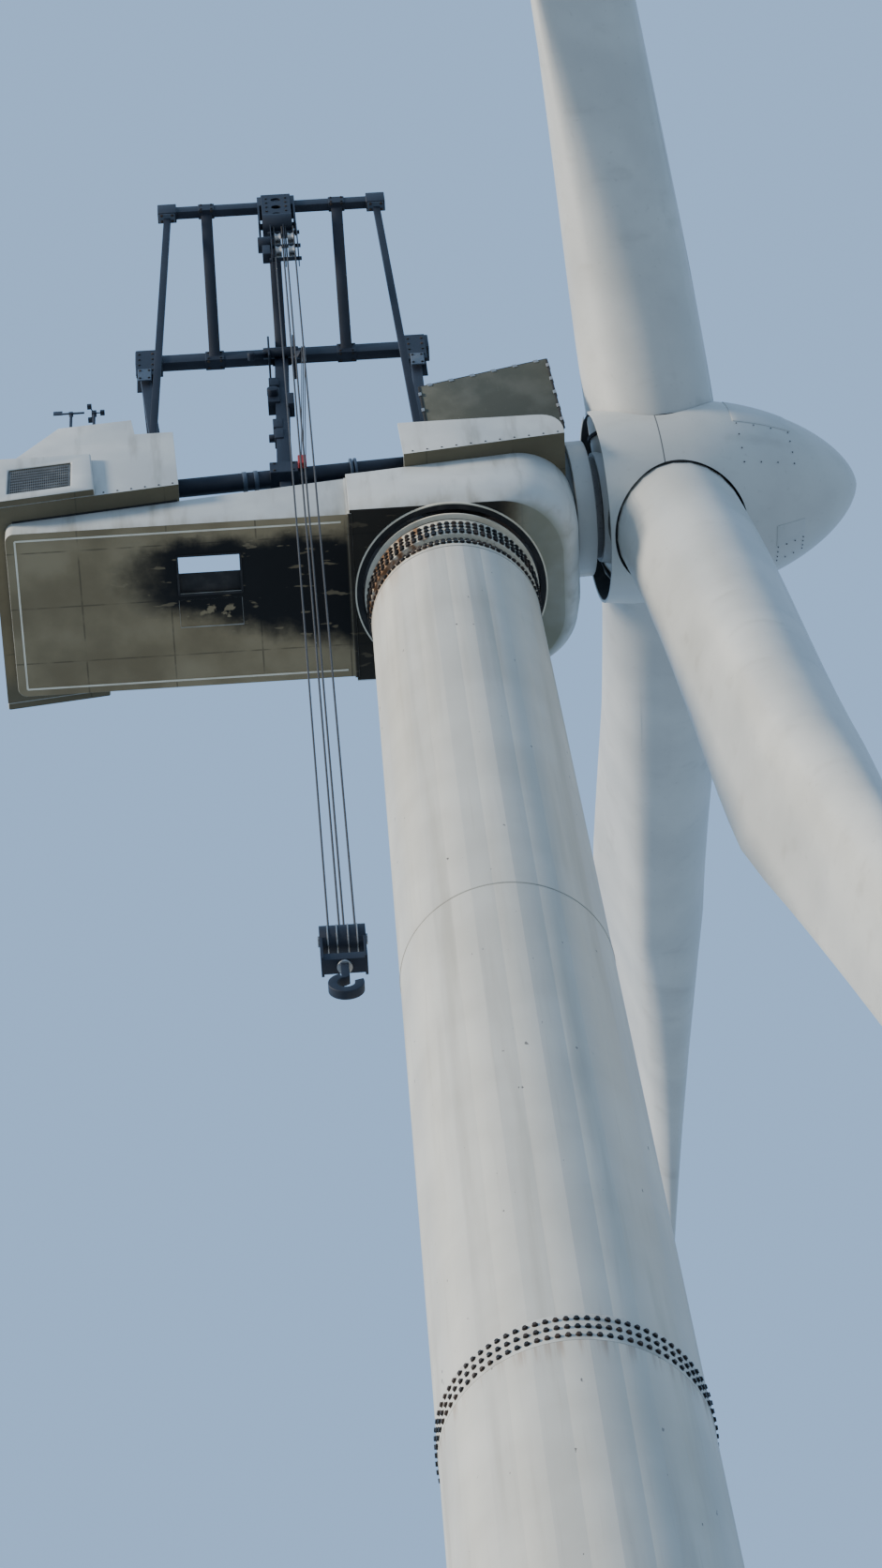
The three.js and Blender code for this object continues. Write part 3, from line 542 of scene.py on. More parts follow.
@dataclass(frozen=True)
class RingFinish:
    """Painted bolting rings at the tower's top, rust bleeding from the bolts on one side."""

    name: str = "ring_paint"
    clean: Colour = (0.56, 0.52, 0.41)
    rust: Colour = (0.22, 0.11, 0.045)
    grime: Colour = (0.06, 0.045, 0.03)

    def make(self) -> Material:
        """Build the finish.

        Returns:
            The material.
        """
        board = Board(self.name)
        runs = board.noise(7.0, (1.0, 1.0, 0.25), 5.0)
        rear = 1.0 - board.axis("X").rise(-1.1, 0.3)
        share = (runs + rear * 0.3).rise(0.6, 0.85)
        colour = board.blend(share, self.clean, self.rust)
        colour = board.blend(board.noise(18.0).rise(0.58, 0.75) * 0.4, colour, self.grime)
        return board.close(colour, 0.5 + share * 0.3, 0.0, runs, 0.002)


@dataclass(frozen=True)
class RopeFinish:
    """Greased wire rope, its lay shown by a slanting stripe."""

    name: str = "wire_rope"
    base: Colour = (0.035, 0.033, 0.032)
    light: Colour = (0.14, 0.13, 0.12)
    lay: float = 60.0

    def make(self) -> Material:
        """Build the finish.

        Returns:
            The material.
        """
        board = Board(self.name)
        bands = {"wave_type": "BANDS", "bands_direction": "DIAGONAL"}
        sockets = {"Scale": self.lay, "Vector": board.place()}
        strand = board.node("ShaderNodeTexWave", bands, sockets, "Fac")
        colour = board.blend(strand.rise(0.4, 0.9) * 0.6, self.base, self.light)
        return board.close(colour, 0.55, 0.5, strand, 0.001)


class Look(Enum):
    """Every finish, by what it goes on."""

    HOUSING = HousingFinish()
    TOWER = TowerFinish()
    RING = RingFinish()
    ROPE = RopeFinish()
    BLADE = gel_coat("blade_gel_coat", (0.50, 0.49, 0.44), (0.58, 0.57, 0.515))
    SPINNER = gel_coat("spinner_gel_coat", (0.49, 0.485, 0.44), (0.56, 0.56, 0.51), -0.15)
    HATCH = gel_coat("hatch_gel_coat", (0.46, 0.46, 0.42), (0.54, 0.54, 0.5))
    CRANE = paint("crane_navy", (0.004, 0.008, 0.018), (0.02, 0.03, 0.05), 0.3, 0.5)
    CRANE_PALE = paint("crane_plate_blue", (0.05, 0.07, 0.10), (0.16, 0.18, 0.2))
    # The roof section's dark olive is painted shade on its outer face; the lighter coats are scuffs.
    LID = paint("lid_painted_shade", (0.065, 0.066, 0.045), (0.12, 0.118, 0.09), 0.7, 0.6)
    RED = paint("warning_red", (0.30, 0.015, 0.012), (0.1, 0.02, 0.02), 0.4, 0.45)
    MACHINE = paint("machine_grey", (0.13, 0.15, 0.15), (0.06, 0.05, 0.04), 0.6, 0.45)
    BAND = paint("joint_band_paint", (0.52, 0.51, 0.45), (0.16, 0.12, 0.08), 0.5, 0.5)
    TRIM = paint("trim_cream", (0.78, 0.72, 0.56), (0.45, 0.38, 0.26), 0.5, 0.5)
    STEEL = steel("casting_steel", (0.16, 0.155, 0.15), (0.17, 0.075, 0.03))
    BRIGHT = steel("turned_steel", (0.35, 0.35, 0.34), (0.16, 0.1, 0.06), 0.2, 0.9)
    BOLT = steel("bolt_steel", (0.02, 0.02, 0.02), (0.07, 0.035, 0.015), 0.6, 0.5)
    SEAL = dull("black_seal", (0.008, 0.008, 0.008), (0.05, 0.045, 0.04))
    GRILLE = dull("grille_grey", (0.13, 0.13, 0.12), (0.3, 0.29, 0.26), 0.6)
    DECK = dull("climbing_deck", (0.20, 0.20, 0.19), (0.32, 0.31, 0.29))
    BEAD = dull("weld_bead_grey", (0.33, 0.32, 0.27), (0.2, 0.17, 0.12), 0.6)

    @cache
    def material(self) -> Material:
        """The finish's material, made on first use."""
        return self.value.make()


# Bench work


class Bench:
    """Modelling steps done with Blender's own tools."""

    @staticmethod
    def clear() -> None:
        """Leave nothing selected."""
        bpy.ops.object.select_all(action="DESELECT")

    @classmethod
    def hold(cls, piece: Piece) -> None:
        """Select one piece and make it active."""
        cls.clear()
        piece.select_set(True)
        bpy.context.view_layer.objects.active = piece

    @classmethod
    @contextmanager
    def editing(cls, piece: Piece, everything: bool = True) -> Iterator[None]:
        """Hold a piece in edit mode.

        Args:
            piece: The piece.
            everything: Whether all of its mesh is selected first.

        Returns:
            A context that goes back to object mode at its end.
        """
        cls.hold(piece)
        bpy.ops.object.mode_set(mode="EDIT")
        if everything:
            bpy.ops.mesh.select_all(action="SELECT")
        yield
        bpy.ops.object.mode_set(mode="OBJECT")

    @classmethod
    def settle(cls, piece: Piece, matrix: Matrix | None = None) -> Piece:
        """Put a piece in its place and keep that place in its mesh.

        Args:
            piece: The piece.
            matrix: Its place, if it isn't there yet.

        Returns:
            The piece.
        """
        if matrix is not None:
            piece.matrix_world = matrix @ piece.matrix_world
        cls.hold(piece)
        bpy.ops.object.transform_apply(location=True, rotation=True, scale=True)
        return piece

    @classmethod
    def cube(cls, low: Vector, high: Vector, bevel: float) -> Piece:
        """A box between two corners, its edges rounded.

        Args:
            low: Its lowest corner.
            high: Its highest corner.
            bevel: Width of the rounding.

        Returns:
            The box.
        """
        cls.clear()
        bpy.ops.mesh.primitive_cube_add(size=1.0, location=(low + high) / 2)
        piece = bpy.context.object
        piece.scale = high - low
        with cls.editing(cls.settle(piece)):
            bpy.ops.mesh.bevel(offset=bevel, segments=2, affect="EDGES")
        return piece

    @classmethod
    def drum(cls, radius: float, height: float, sides: int, bevel: float = 0.0) -> Piece:
        """A round bar on the z axis, centred, its rims rounded.

        Args:
            radius: Its radius.
            height: Its length.
            sides: Sides of its round.
            bevel: Width of the rims' rounding.

        Returns:
            The bar.
        """
        cls.clear()
        bpy.ops.mesh.primitive_cylinder_add(vertices=sides, radius=radius, depth=height)
        piece = bpy.context.object
        if bevel:
            with cls.editing(piece):
                bpy.ops.mesh.select_mode(type="FACE")
                bpy.ops.mesh.select_all(action="DESELECT")
            for face in piece.data.polygons:
                face.select = abs(face.normal.z) > 0.9
            with cls.editing(piece, False):
                bpy.ops.mesh.region_to_loop()
                bpy.ops.mesh.bevel(offset=bevel, segments=2, affect="EDGES")
        return piece

    @staticmethod
    def weld(distance: float) -> None:
        """Merge doubles all over the mesh in edit mode, and leave all of it selected.

        Args:
            distance: How close they are.
        """
        bpy.ops.mesh.select_all(action="SELECT")
        bpy.ops.mesh.remove_doubles(threshold=distance)
        bpy.ops.mesh.select_all(action="SELECT")

    @classmethod
    def spun(
        cls,
        name: str,
        outline: Outline,
        steps: int,
        place: Matrix | None = None,
        smooth: float = 35.0,
        closed: bool = True,
        angle: float = math.tau,
    ) -> Piece:
        """Turn an outline of radius and height about the z axis.

        Args:
            name: The piece's name.
            outline: Radii and heights.
            steps: Steps of the turn.
            place: Where the turned piece goes.
            smooth: Edges under this angle are shaded smooth; 0 leaves that for later.
            closed: Whether the outline's last point joins its first.
            angle: How far it is turned; a part turn is closed at both ends.

        Returns:
            The turned piece.
        """
        cls.clear()
        bpy.ops.mesh.primitive_plane_add(size=0.1)
        piece = bpy.context.object
        piece.name = name
        loop = outline + outline[:1] if closed else outline
        with cls.editing(piece):
            bpy.ops.mesh.select_mode(type="VERT")
            bpy.ops.mesh.select_all(action="SELECT")
            bpy.ops.mesh.merge(type="CENTER")
            bpy.ops.transform.translate(value=(outline[0][0], 0.0, outline[0][1]))
            for (r0, z0), (r1, z1) in zip(loop, loop[1:]):
                bpy.ops.mesh.extrude_region_move(TRANSFORM_OT_translate={"value": (r1 - r0, 0.0, z1 - z0)})
            cls.weld(DOUBLES)
            bpy.ops.mesh.spin(steps=steps, angle=angle, center=(0, 0, 0), axis=(0, 0, 1))
            cls.weld(DOUBLES)
            if angle < math.tau:
                bpy.ops.mesh.fill_holes(sides=0)
                bpy.ops.mesh.select_all(action="SELECT")
            bpy.ops.mesh.normals_make_consistent(inside=False)
        if place is not None:
            cls.settle(piece, place)
        return cls.smooth(piece, smooth) if smooth else piece

    @classmethod
    def modified(cls, piece: Piece, kind: str, **settings: object) -> Piece:
        """Add a modifier and apply it.

        Args:
            piece: The piece.
            kind: The modifier's type.
            **settings: Its settings.

        Returns:
            The piece.
        """
        cls.hold(piece)
        modifier = piece.modifiers.new(kind.lower(), kind)
        for key, value in settings.items():
            setattr(modifier, key, value)
        bpy.ops.object.modifier_apply(modifier=modifier.name)
        return piece

    @classmethod
    def bevelled(cls, piece: Piece, width: float, segments: int, degrees: float) -> Piece:
        """Round the edges that are sharper than an angle."""
        limit = {"limit_method": "ANGLE", "angle_limit": math.radians(degrees)}
        return cls.modified(piece, "BEVEL", width=width, segments=segments, harden_normals=False, **limit)

    @classmethod
    def smooth(cls, piece: Piece, degrees: float = 35.0) -> Piece:
        """Shade smooth across edges under an angle."""
        cls.hold(piece)
        bpy.ops.object.shade_smooth_by_angle(angle=math.radians(degrees))
        return piece

    @classmethod
    def refined(cls, node: str, name: str, bevel: float, segments: int = 2) -> Piece:
        """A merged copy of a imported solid, with rounded edges.

        Args:
            node: The solid's name.
            name: The new piece's name.
            bevel: Width of the rounding.
            segments: Steps of the rounding.

        Returns:
            The copy.
        """
        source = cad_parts[node]
        piece = source.copy()
        piece.data = source.data.copy()
        piece.name = name
        piece.parent = None
        piece.matrix_world = Matrix.Identity(4)
        for key in list(piece.keys()):
            del piece[key]
        bpy.context.scene.collection.objects.link(piece)
        with cls.editing(piece):
            cls.weld(2 * DOUBLES)
            bpy.ops.mesh.dissolve_limited(angle_limit=math.radians(0.6))
        if bevel:
            cls.bevelled(piece, bevel, segments, 34.0)
        return cls.smooth(piece)

    @classmethod
    def copies(cls, seed: Piece, places: list[Matrix], name: str) -> Piece:
        """Copies of one model, each with a mesh of its own, joined as one piece.

        Args:
            seed: The model, which goes away.
            places: Where the copies stand.
            name: The joined piece's name.

        Returns:
            The joined piece.
        """
        made = []
        for place in places:
            copy = seed.copy()
            copy.data = seed.data.copy()
            copy.data.transform(place @ seed.matrix_world)
            copy.matrix_world = Matrix.Identity(4)
            bpy.context.scene.collection.objects.link(copy)
            made.append(copy)
        bpy.data.objects.remove(seed)
        return cls.joined(made, name)

    @classmethod
    def joined(cls, pieces: list[Piece], name: str) -> Piece:
        """Join pieces as one.

        Args:
            pieces: The pieces.
            name: The joined piece's name.

        Returns:
            The joined piece.
        """
        cls.clear()
        for piece in pieces:
            piece.select_set(True)
        bpy.context.view_layer.objects.active = pieces[0]
        if len(pieces) > 1:
            bpy.ops.object.join()
        pieces[0].name = name
        return cls.settle(pieces[0])

    @classmethod
    def cut(cls, piece: Piece, tool: Piece) -> None:
        """Take one shape out of another, which goes away."""
        cls.modified(piece, "BOOLEAN", operation="DIFFERENCE", object=tool, solver="EXACT")
        bpy.data.objects.remove(tool)

    @classmethod
    def bolt(cls, radius: float, height: float, washer: bool = True) -> Piece:
        """A hexagon head on its washer, standing up from z = 0.

        Args:
            radius: Radius over the corners.
            height: Height of the head.
            washer: Whether it has a washer.

        Returns:
            The bolt head.
        """
        head = cls.drum(radius, height, 6, radius * 0.12)
        head.location.z = height / 2 + (height * 0.22 if washer else 0.0)
        cls.settle(head)
        if not washer:
            return head
        plate = cls.drum(radius * 1.3, height * 0.3, 14)
        plate.location.z = height * 0.15
        return cls.joined([head, cls.settle(plate)], "bolt")

    @classmethod
    def bolt_ring(cls, name: str, radius: float, height: float, count: int, size: float) -> Piece:
        """A row of bolt heads standing out all round a drum.

        Args:
            name: The piece's name.
            radius: The drum's radius.
            height: Height of the row above the tower's top edge.
            count: How many bolts.
            size: Radius of a head.

        Returns:
            The row.
        """
        places = []
        for index in range(count):
            angle = math.tau * (index + 0.5) / count
            out = Vector((math.cos(angle), math.sin(angle), 0.0))
            places.append(turned_to(out, lifted(0, 0, height) + out * radius, 0.3))
        return cls.copies(cls.bolt(size, RING_BOLT_HEIGHT), places, name)


@dataclass(frozen=True)
class Box:
    """A box between two corners, its edges rounded, with grids of bolts on its near or lower face."""

    low: Point
    high: Point
    bevel: float = 0.008
    grids: tuple[tuple[Vector, int, int], ...] = ()

    def make(self) -> Piece:
        """Model it."""
        return Bench.cube(lifted(*self.low), lifted(*self.high), self.bevel)

    def heads(self) -> Iterator[Matrix]:
        """Where its bolts stand.

        Returns:
            Their places.
        """
        for out, *counts in self.grids:
            flat = [axis for axis in range(3) if not out[axis]]
            for cell in product(*map(range, counts)):
                spot = lifted(*self.low)
                for axis, index, count in zip(flat, cell, counts):
                    share = BOLT_INSET + (1 - 2 * BOLT_INSET) * index / (count - 1)
                    spot[axis] += (self.high[axis] - self.low[axis]) * share
                yield turned_to(out, spot, 0.2)


def block(middle: Point, half: Point, *grids: tuple[Vector, int, int], bevel: float = 0.008) -> Box:
    """A box given by its middle and its half sizes."""
    low, high = ([a + sign * b for a, b in zip(middle, half)] for sign in (-1, 1))
    return Box(low, high, bevel, grids)


@dataclass(frozen=True)
class Rod:
    """A round bar between two points, its rims rounded."""

    start: Point
    end: Point
    radius: float
    sides: int = 20
    bevel: float = 0.0

    def make(self) -> Piece:
        """Model it.

        Returns:
            The rod.
        """
        start, end = lifted(*self.start), lifted(*self.end)
        drum = Bench.drum(self.radius, (end - start).length, self.sides, self.bevel)
        return Bench.settle(drum, turned_to(end - start, (start + end) / 2))


@dataclass(frozen=True)
class Bar:
    """A square bar between two points, with its level width and its other width."""

    start: Point
    end: Point
    width: float
    height: float
    bevel: float = 0.004

    def make(self) -> Piece:
        """Model it.

        Returns:
            The bar.
        """
        start, end = lifted(*self.start), lifted(*self.end)
        half = Vector((self.width, self.height, (end - start).length)) / 2
        return Bench.settle(Bench.cube(-half, half, self.bevel), turned_to(end - start, (start + end) / 2))


Shape = Box | Rod | Bar


class Fitter:
    """Gives finished pieces their material and body, and reports them."""

    def __init__(self, body: Body, slot: str) -> None:
        """Keep the body they ride on and the record's slot."""
        self.body = body
        self.slot = slot

    def fit(self, piece: Piece, look: Look, *replaces: str) -> None:
        """Fit one new piece.

        Args:
            piece: The piece.
            look: Its finish.
            *replaces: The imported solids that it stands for.
        """
        self._dress(piece, look)
        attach(piece, self.body.value)
        if replaces:
            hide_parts(*replaces)
        log.info("%s: %d faces on %s", piece.name, len(piece.data.polygons), self.body.value)

    def refine(self, node: str, name: str, look: Look, bevel: float, segments: int = 2) -> None:
        """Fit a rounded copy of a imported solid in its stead."""
        self.fit(Bench.refined(node, name, bevel, segments), look, node)

    def assemble(self, name: str, look: Look, shapes: Iterable[Shape], smooth: bool = False) -> None:
        """Model shapes, join them as one piece and fit it.

        Args:
            name: The piece's name.
            look: Its finish.
            shapes: The shapes.
            smooth: Whether it is shaded smooth.
        """
        piece = Bench.joined([shape.make() for shape in shapes], name)
        self.fit(Bench.smooth(piece) if smooth else piece, look)

    def keep(self, node: str, look: Look) -> None:
        """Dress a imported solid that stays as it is."""
        self._dress(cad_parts[node], look)
        log.info("%s: kept", node)

    @staticmethod
    def _dress(piece: Piece, look: Look) -> None:
        """Give a piece its material alone."""
        piece.data.materials.clear()
        piece.data.materials.append(look.material())


def hoop(inner: float, outer: float, low: float, high: float) -> Outline:
    """The outline of a flat ring."""
    return [(inner, low), (outer, low), (outer, high), (inner, high)]


# Sub-assemblies


@dataclass
class TowerSection:
    """The top section of the tower, with its two flanges and their bolts."""

    top_radius: float = 1.15
    base_radius: float = 1.434
    middle: float = 11.0
    wall: float = 0.03
    steps: int = 120
    bolts: int = 84
    ring_bolt: float = 0.03
    joint_bolt: float = 0.026
    ring_rows: tuple[tuple[float, float], ...] = ((1.151, 0.06), (1.091, 0.15), (1.091, 0.24))
    joint_rows: tuple[float, ...] = (3.8, 3.94, 4.08)
    joint_band: tuple[float, float] = (3.72, 4.17)
    welds: tuple[float, ...] = (22.63, 13.1)

    def radius(self, z: float) -> float:
        """The shell's outer radius at a height over its foot."""
        return self.base_radius + (self.top_radius - self.base_radius) * z / TOWER_TOP

    def build(self) -> None:
        """Model and dress the section."""
        fitter, rings = Fitter(Body.TOWER, "tower_paint"), Fitter(Body.TOWER, "bare_steel")
        fitter.fit(self._shell(), Look.TOWER, "tower_shell")
        fitter.keep("tower_base_flange", Look.DECK)
        rings.refine("tower_top_flange", "top_flange_ring", Look.RING, 0.006)
        rings.refine("yaw_gear_ring", "yaw_gear_drum", Look.RING, 0.006)
        rows = []
        for number, row in enumerate(self.ring_rows, 1):
            rows.append((f"ring_bolts_{number}", *row, self.ring_bolt))
        for number, z in enumerate(self.joint_rows, 1):
            rows.append((f"joint_bolts_{number}", self.radius(z) + 0.004, z - TOWER_TOP, self.joint_bolt))
        for name, radius, height, size in rows:
            rings.fit(Bench.bolt_ring("tower_" + name, radius, height, self.bolts, size), Look.BOLT)
        rings.fit(self._band("tower_joint_band", *self.joint_band, 0.005), Look.BAND)
        for number, height in enumerate(self.welds, 1):
            fitter.fit(self._band(f"weld_bead_{number}", height, height + 0.022, 0.007), Look.BEAD)

    def _shell(self) -> Piece:
        """The tapered shell.

        Returns:
            The shell.
        """
        outline = [(self.radius(z), z) for z in (0.0, self.middle, TOWER_TOP)]
        outline += [(self.top_radius - self.wall, TOWER_TOP), (self.base_radius - self.wall, 0.0)]
        return Bench.spun("tower_section_shell", outline, self.steps, smooth=30)

    def _band(self, name: str, low: float, high: float, proud: float) -> Piece:
        """A ring standing out of the shell.

        Args:
            name: The piece's name.
            low: Height of its lower edge.
            high: Height of its upper edge.
            proud: How far it stands out.

        Returns:
            The ring.
        """
        inner, outer = self.radius(low), self.radius(high)
        ease = min(proud, (high - low) / 3)
        outline = [(inner - 0.004, low), (inner + proud * 0.6, low), (inner + proud, low + ease)]
        outline += [(outer + proud, high - ease), (outer + proud * 0.6, high), (outer - 0.004, high)]
        return Bench.spun(name, outline, self.steps, smooth=60)


@dataclass
class YawAndBed:
    """The yaw ring's upper half, the bedplate and what stands on it."""

    bolt_radius: float = 1.166
    bolt: float = 0.03
    bolts: int = 76
    rows: tuple[float, ...] = (0.345, 0.41, 0.52, 0.62)
    rings: tuple[tuple[str, Look, float, float, float, float], ...] = (
        ("neck_skirt", Look.RING, 1.129, 1.165, 0.452, 0.74),
        ("neck_flange", Look.TRIM, 1.129, 1.205, 0.845, 0.87),
        ("yaw_cut_bead", Look.TRIM, 1.312, 1.332, 0.936, 0.9595),
    )
    castings: tuple[str, ...] = (
        "main_bearing_front",
        "main_bearing_rear",
        "gearbox_foot_near",
        "gearbox_foot_far",
    )

    def build(self) -> None:
        """Model and dress the machinery."""
        fitter = Fitter(Body.NACELLE, "bare_steel")
        fitter.refine("yaw_bearing_ring", "yaw_ring_upper", Look.RING, 0.008)
        for name, look, *size in self.rings:
            fitter.fit(Bench.spun(name, hoop(*size), 120, Matrix.Translation(lifted(0, 0, 0))), look)
        for number, height in enumerate(self.rows, 1):
            row = Bench.bolt_ring(f"yaw_ring_bolts_{number}", self.bolt_radius, height, self.bolts, self.bolt)
            fitter.fit(row, Look.BOLT)
        fitter.refine("bedplate", "bedplate_casting", Look.STEEL, 0.012)
        for node in self.castings:
            fitter.refine(node, node + "_casting", Look.MACHINE, 0.012)
        fitter.refine("generator", "generator_case", Look.MACHINE, 0.02)


@dataclass
class Housing:
    """The two tubs, the covers with their louvres, and the trim on them."""

    half: float = 1.24
    floor: float = 0.96
    seam_x: float = -1.36
    tail_x: float = -6.07
    cover_half: float = 1.49
    cut_radius: float = 1.262
    louvre_bars: int = 34
    fastener: tuple[float, float] = (0.012, 0.008)
    hatch: tuple[float, float, float, float] = (-3.75, -2.88, -0.76, -0.17)
    plate_ribs: tuple[float, ...] = (-3.6, -3.32, -3.04)
    seals: tuple[tuple[float, float], ...] = ((-5.97, -3.7), (-0.5, 0.9))
    fasteners: tuple[tuple[float, float, int], ...] = ((-4.7, -3.75, 6), (-0.4, 1.66, 11))
    shells: tuple[tuple[str, str, float, Look], ...] = (
        ("tub_rear", "rear_tub_shell", 0.014, Look.HOUSING),
        ("tub_front", "front_tub_shell", 0.02, Look.HOUSING),
        ("rear_cover", "rear_roof_cover", 0.028, Look.HOUSING),
        ("front_cover", "front_roof_cover", 0.03, Look.HOUSING),
        ("front_collar", "collar_ring", 0.012, Look.HATCH),
        ("louvre_frame_near", "louvre_surround_near", 0.022, Look.HOUSING),
        ("louvre_frame_far", "louvre_surround_far", 0.022, Look.HOUSING),
    )

    def build(self) -> None:
        """Model and dress the housing."""
        fitter = Fitter(Body.NACELLE, "housing")
        for node, name, bevel, look in self.shells:
            fitter.refine(node, name, look, bevel, 3)
        for side in Side:
            self._louvre(side)
            fitter.fit(self._eave_bolts(side), Look.BOLT)
        fitter.assemble("tub_joint_band", Look.HOUSING, self._seam(), True)
        fitter.fit(self._cut_lip(), Look.SEAL)
        x0, x1, y = self.tail_x + 0.13, self.seam_x - 0.12, self.half - 0.11
        runs = self._run([(x1, -y), (x0, -y), (x0, y), (x1, y)], self.floor - 0.003, 0.026, 0.012)
        fitter.assemble("floor_moulding", Look.TRIM, runs)
        x0, x1, y0, y1 = self.hatch
        corners = [(x0, y0), (x1, y0), (x1, y1), (x0, y1), (x0, y0)]
        fitter.assemble("floor_hatch_frame", Look.SEAL, self._run(corners, self.floor - 0.004, 0.03, 0.014))
        fitter.assemble("eave_seals", Look.SEAL, self._eave_seals())
        fitter.assemble("floor_hatch_cover", Look.SEAL, self._hatch_cover())

    def _louvre(self, side: Side) -> None:
        """Model the slats and the upright bars over them.

        Args:
            side: Which side of the nacelle.
        """
        fitter = Fitter(Body.NACELLE, "grille")
        node = f"louvre_grille_{side.name.lower()}"
        grille = Bench.refined(node, node.replace("grille", "slats"), 0.003)
        spots = [vertex.co for vertex in grille.data.vertices]
        low, high = (Vector([pick(row) for row in zip(*spots)]) for pick in (min, max))
        face = low.y - 0.004 if side is Side.NEAR else high.y + 0.004
        foot, top = low.z + 0.01 - TOWER_TOP, high.z - 0.01 - TOWER_TOP
        bars = []
        for index in range(self.louvre_bars):
            x = low.x + (high.x - low.x) * (index + 0.5) / self.louvre_bars
            bars.append(Bar((x, face, foot), (x, face, top), 0.006, 0.006, 0.001))
        fitter.fit(grille, Look.GRILLE, node)
        fitter.assemble(node.replace("grille", "bars"), Look.GRILLE, bars)

    def _seam(self) -> Iterator[Box]:
        """The raised joint band round the tubs where they meet.

        Returns:
            Its boxes.
        """
        x, y, z = self.seam_x, self.half, self.floor
        yield Box((x - 0.03, -y - 0.012, z - 0.014), (x + 0.03, y + 0.012, z - 0.001), 0.004)
        for side in Side:
            middle, top = side.value * (y + 0.0065), eave(x) - 0.01
            yield Box((x - 0.03, middle - 0.0055, z - 0.014), (x + 0.03, middle + 0.0055, top), 0.003)

    @staticmethod
    def _run(corners: Outline, z: float, width: float, height: float) -> list[Bar]:
        """Strips from corner to corner at one height."""
        points = [(x, y, z) for x, y in corners]
        return [Bar(*pair, width, height, 0.003) for pair in zip(points, points[1:])]

    def _hatch_cover(self) -> list[Box]:
        """The hatch's own plate with its ribs, pushed half aside on the floor inside.

        Returns:
            Its shapes.
        """
        z = self.floor + 0.05
        ends = [((x - 0.02, -0.44, z + 0.019), (x + 0.02, 0.09, z + 0.05)) for x in self.plate_ribs]
        return [Box(*pair, 0.004) for pair in [((-3.8, -0.47, z), (-2.84, 0.12, z + 0.02)), *ends]]

    def _eave_seals(self) -> Iterator[Bar]:
        """The rubber strips between the tubs and the covers.

        Returns:
            The strips.
        """
        for side in Side:
            for span in self.seals:
                ends = [(x, side.value * (self.half + 0.012), eave(x) - 0.012) for x in span]
                yield Bar(*ends, 0.022, 0.02)

    def _cut_lip(self) -> Piece:
        """The dark rubber lip round the yaw cut-out.

        Returns:
            The lip.
        """
        r, z = self.cut_radius, self.floor
        outline = [(r - 0.03, z - 0.02), (r + 0.05, z - 0.02), (r + 0.05, z - 0.001), (r - 0.002, z + 0.05)]
        return Bench.spun("yaw_cut_lip", outline, 96, Matrix.Translation(lifted(0, 0, 0)))

    def _eave_bolts(self, side: Side) -> Piece:
        """Fasteners along the covers' lower edges.

        Args:
            side: Which side of the nacelle.

        Returns:
            The row.
        """
        out = Vector((0.0, float(side.value), 0.0))
        places = []
        for start, end, count in self.fasteners:
            for index in range(count):
                x = start + (end - start) * index / (count - 1)
                places.append(turned_to(out, lifted(x, side.value * self.cover_half, eave(x) + 0.06)))
        return Bench.copies(Bench.bolt(*self.fastener), places, f"eave_fasteners_{side.name.lower()}")


@dataclass
class RoofLid:
    """The lifted roof section on its brackets, and the instrument masts."""

    lean: float = math.radians(17)
    foot_y: float = -1.25
    foot_z: float = 3.4039
    thick: float = 0.045
    corners: tuple[tuple[float, float], ...] = ((-0.13, 0.05), (-0.19, 1.09), (1.68, 1.55), (1.80, 0.05))
    ribs: tuple[tuple[float, float], ...] = ((0.25, 1.1), (0.8, 1.24), (1.35, 1.38))
    clip_spacing: float = 0.28

    def point(self, x: float, out: float, up: float) -> Vector:
        """A point along the section's foot edge, through its thickness and up its slope."""
        cos, sin = math.cos(self.lean), math.sin(self.lean)
        return Vector((x, self.foot_y + out * cos - up * sin, self.foot_z + out * sin + up * cos))

    def build(self) -> None:
        """Model and dress the lid, its brackets and the masts."""
        points = [self.point(x, self.thick / 2, up) for x, up in self.corners]
        edges = list(zip(points, points[1:]))
        fitter = Fitter(Body.NACELLE, "housing")
        fitter.refine("roof_lid", "roof_section", Look.LID, 0.01)
        gasket = [Bar(*edge, 0.03, 0.062, 0.006) for edge in edges]
        fitter.assemble("roof_section_gasket", Look.SEAL, gasket, True)
        fitter.assemble("roof_section_clips", Look.BRIGHT, self._clips(edges))
        back = self.thick + 0.02
        ends = [(self.point(x, back, 0.08), self.point(x, back, top)) for x, top in self.ribs]
        ribs = [Bar(*pair, 0.09, 0.05, 0.012) for pair in ends]
        fitter.assemble("roof_section_ribs", Look.HOUSING, ribs, True)
        for node in ("lid_bracket_rear", "lid_bracket_front"):
            Fitter(Body.NACELLE, "crane_paint").refine(node, node + "_weldment", Look.CRANE, 0.006)
        for node in ("wind_vane_mast", "anemometer_mast"):
            Fitter(Body.NACELLE, "instruments").refine(node, node + "_assembly", Look.CRANE, 0.003)

    def _clips(self, edges: list[tuple[Vector, Vector]]) -> Iterator[Bar]:
        """Toggle clips along the section's edges.

        Args:
            edges: The edges' ends.

        Returns:
            The clips.
        """
        for start, end in edges:
            half = (end - start).normalized() * 0.035
            count = int((end - start).length / self.clip_spacing)
            for index in range(count):
                spot = start.lerp(end, (index + 0.5) / count)
                yield Bar(spot - half, spot + half, 0.045, 0.082, 0.005)


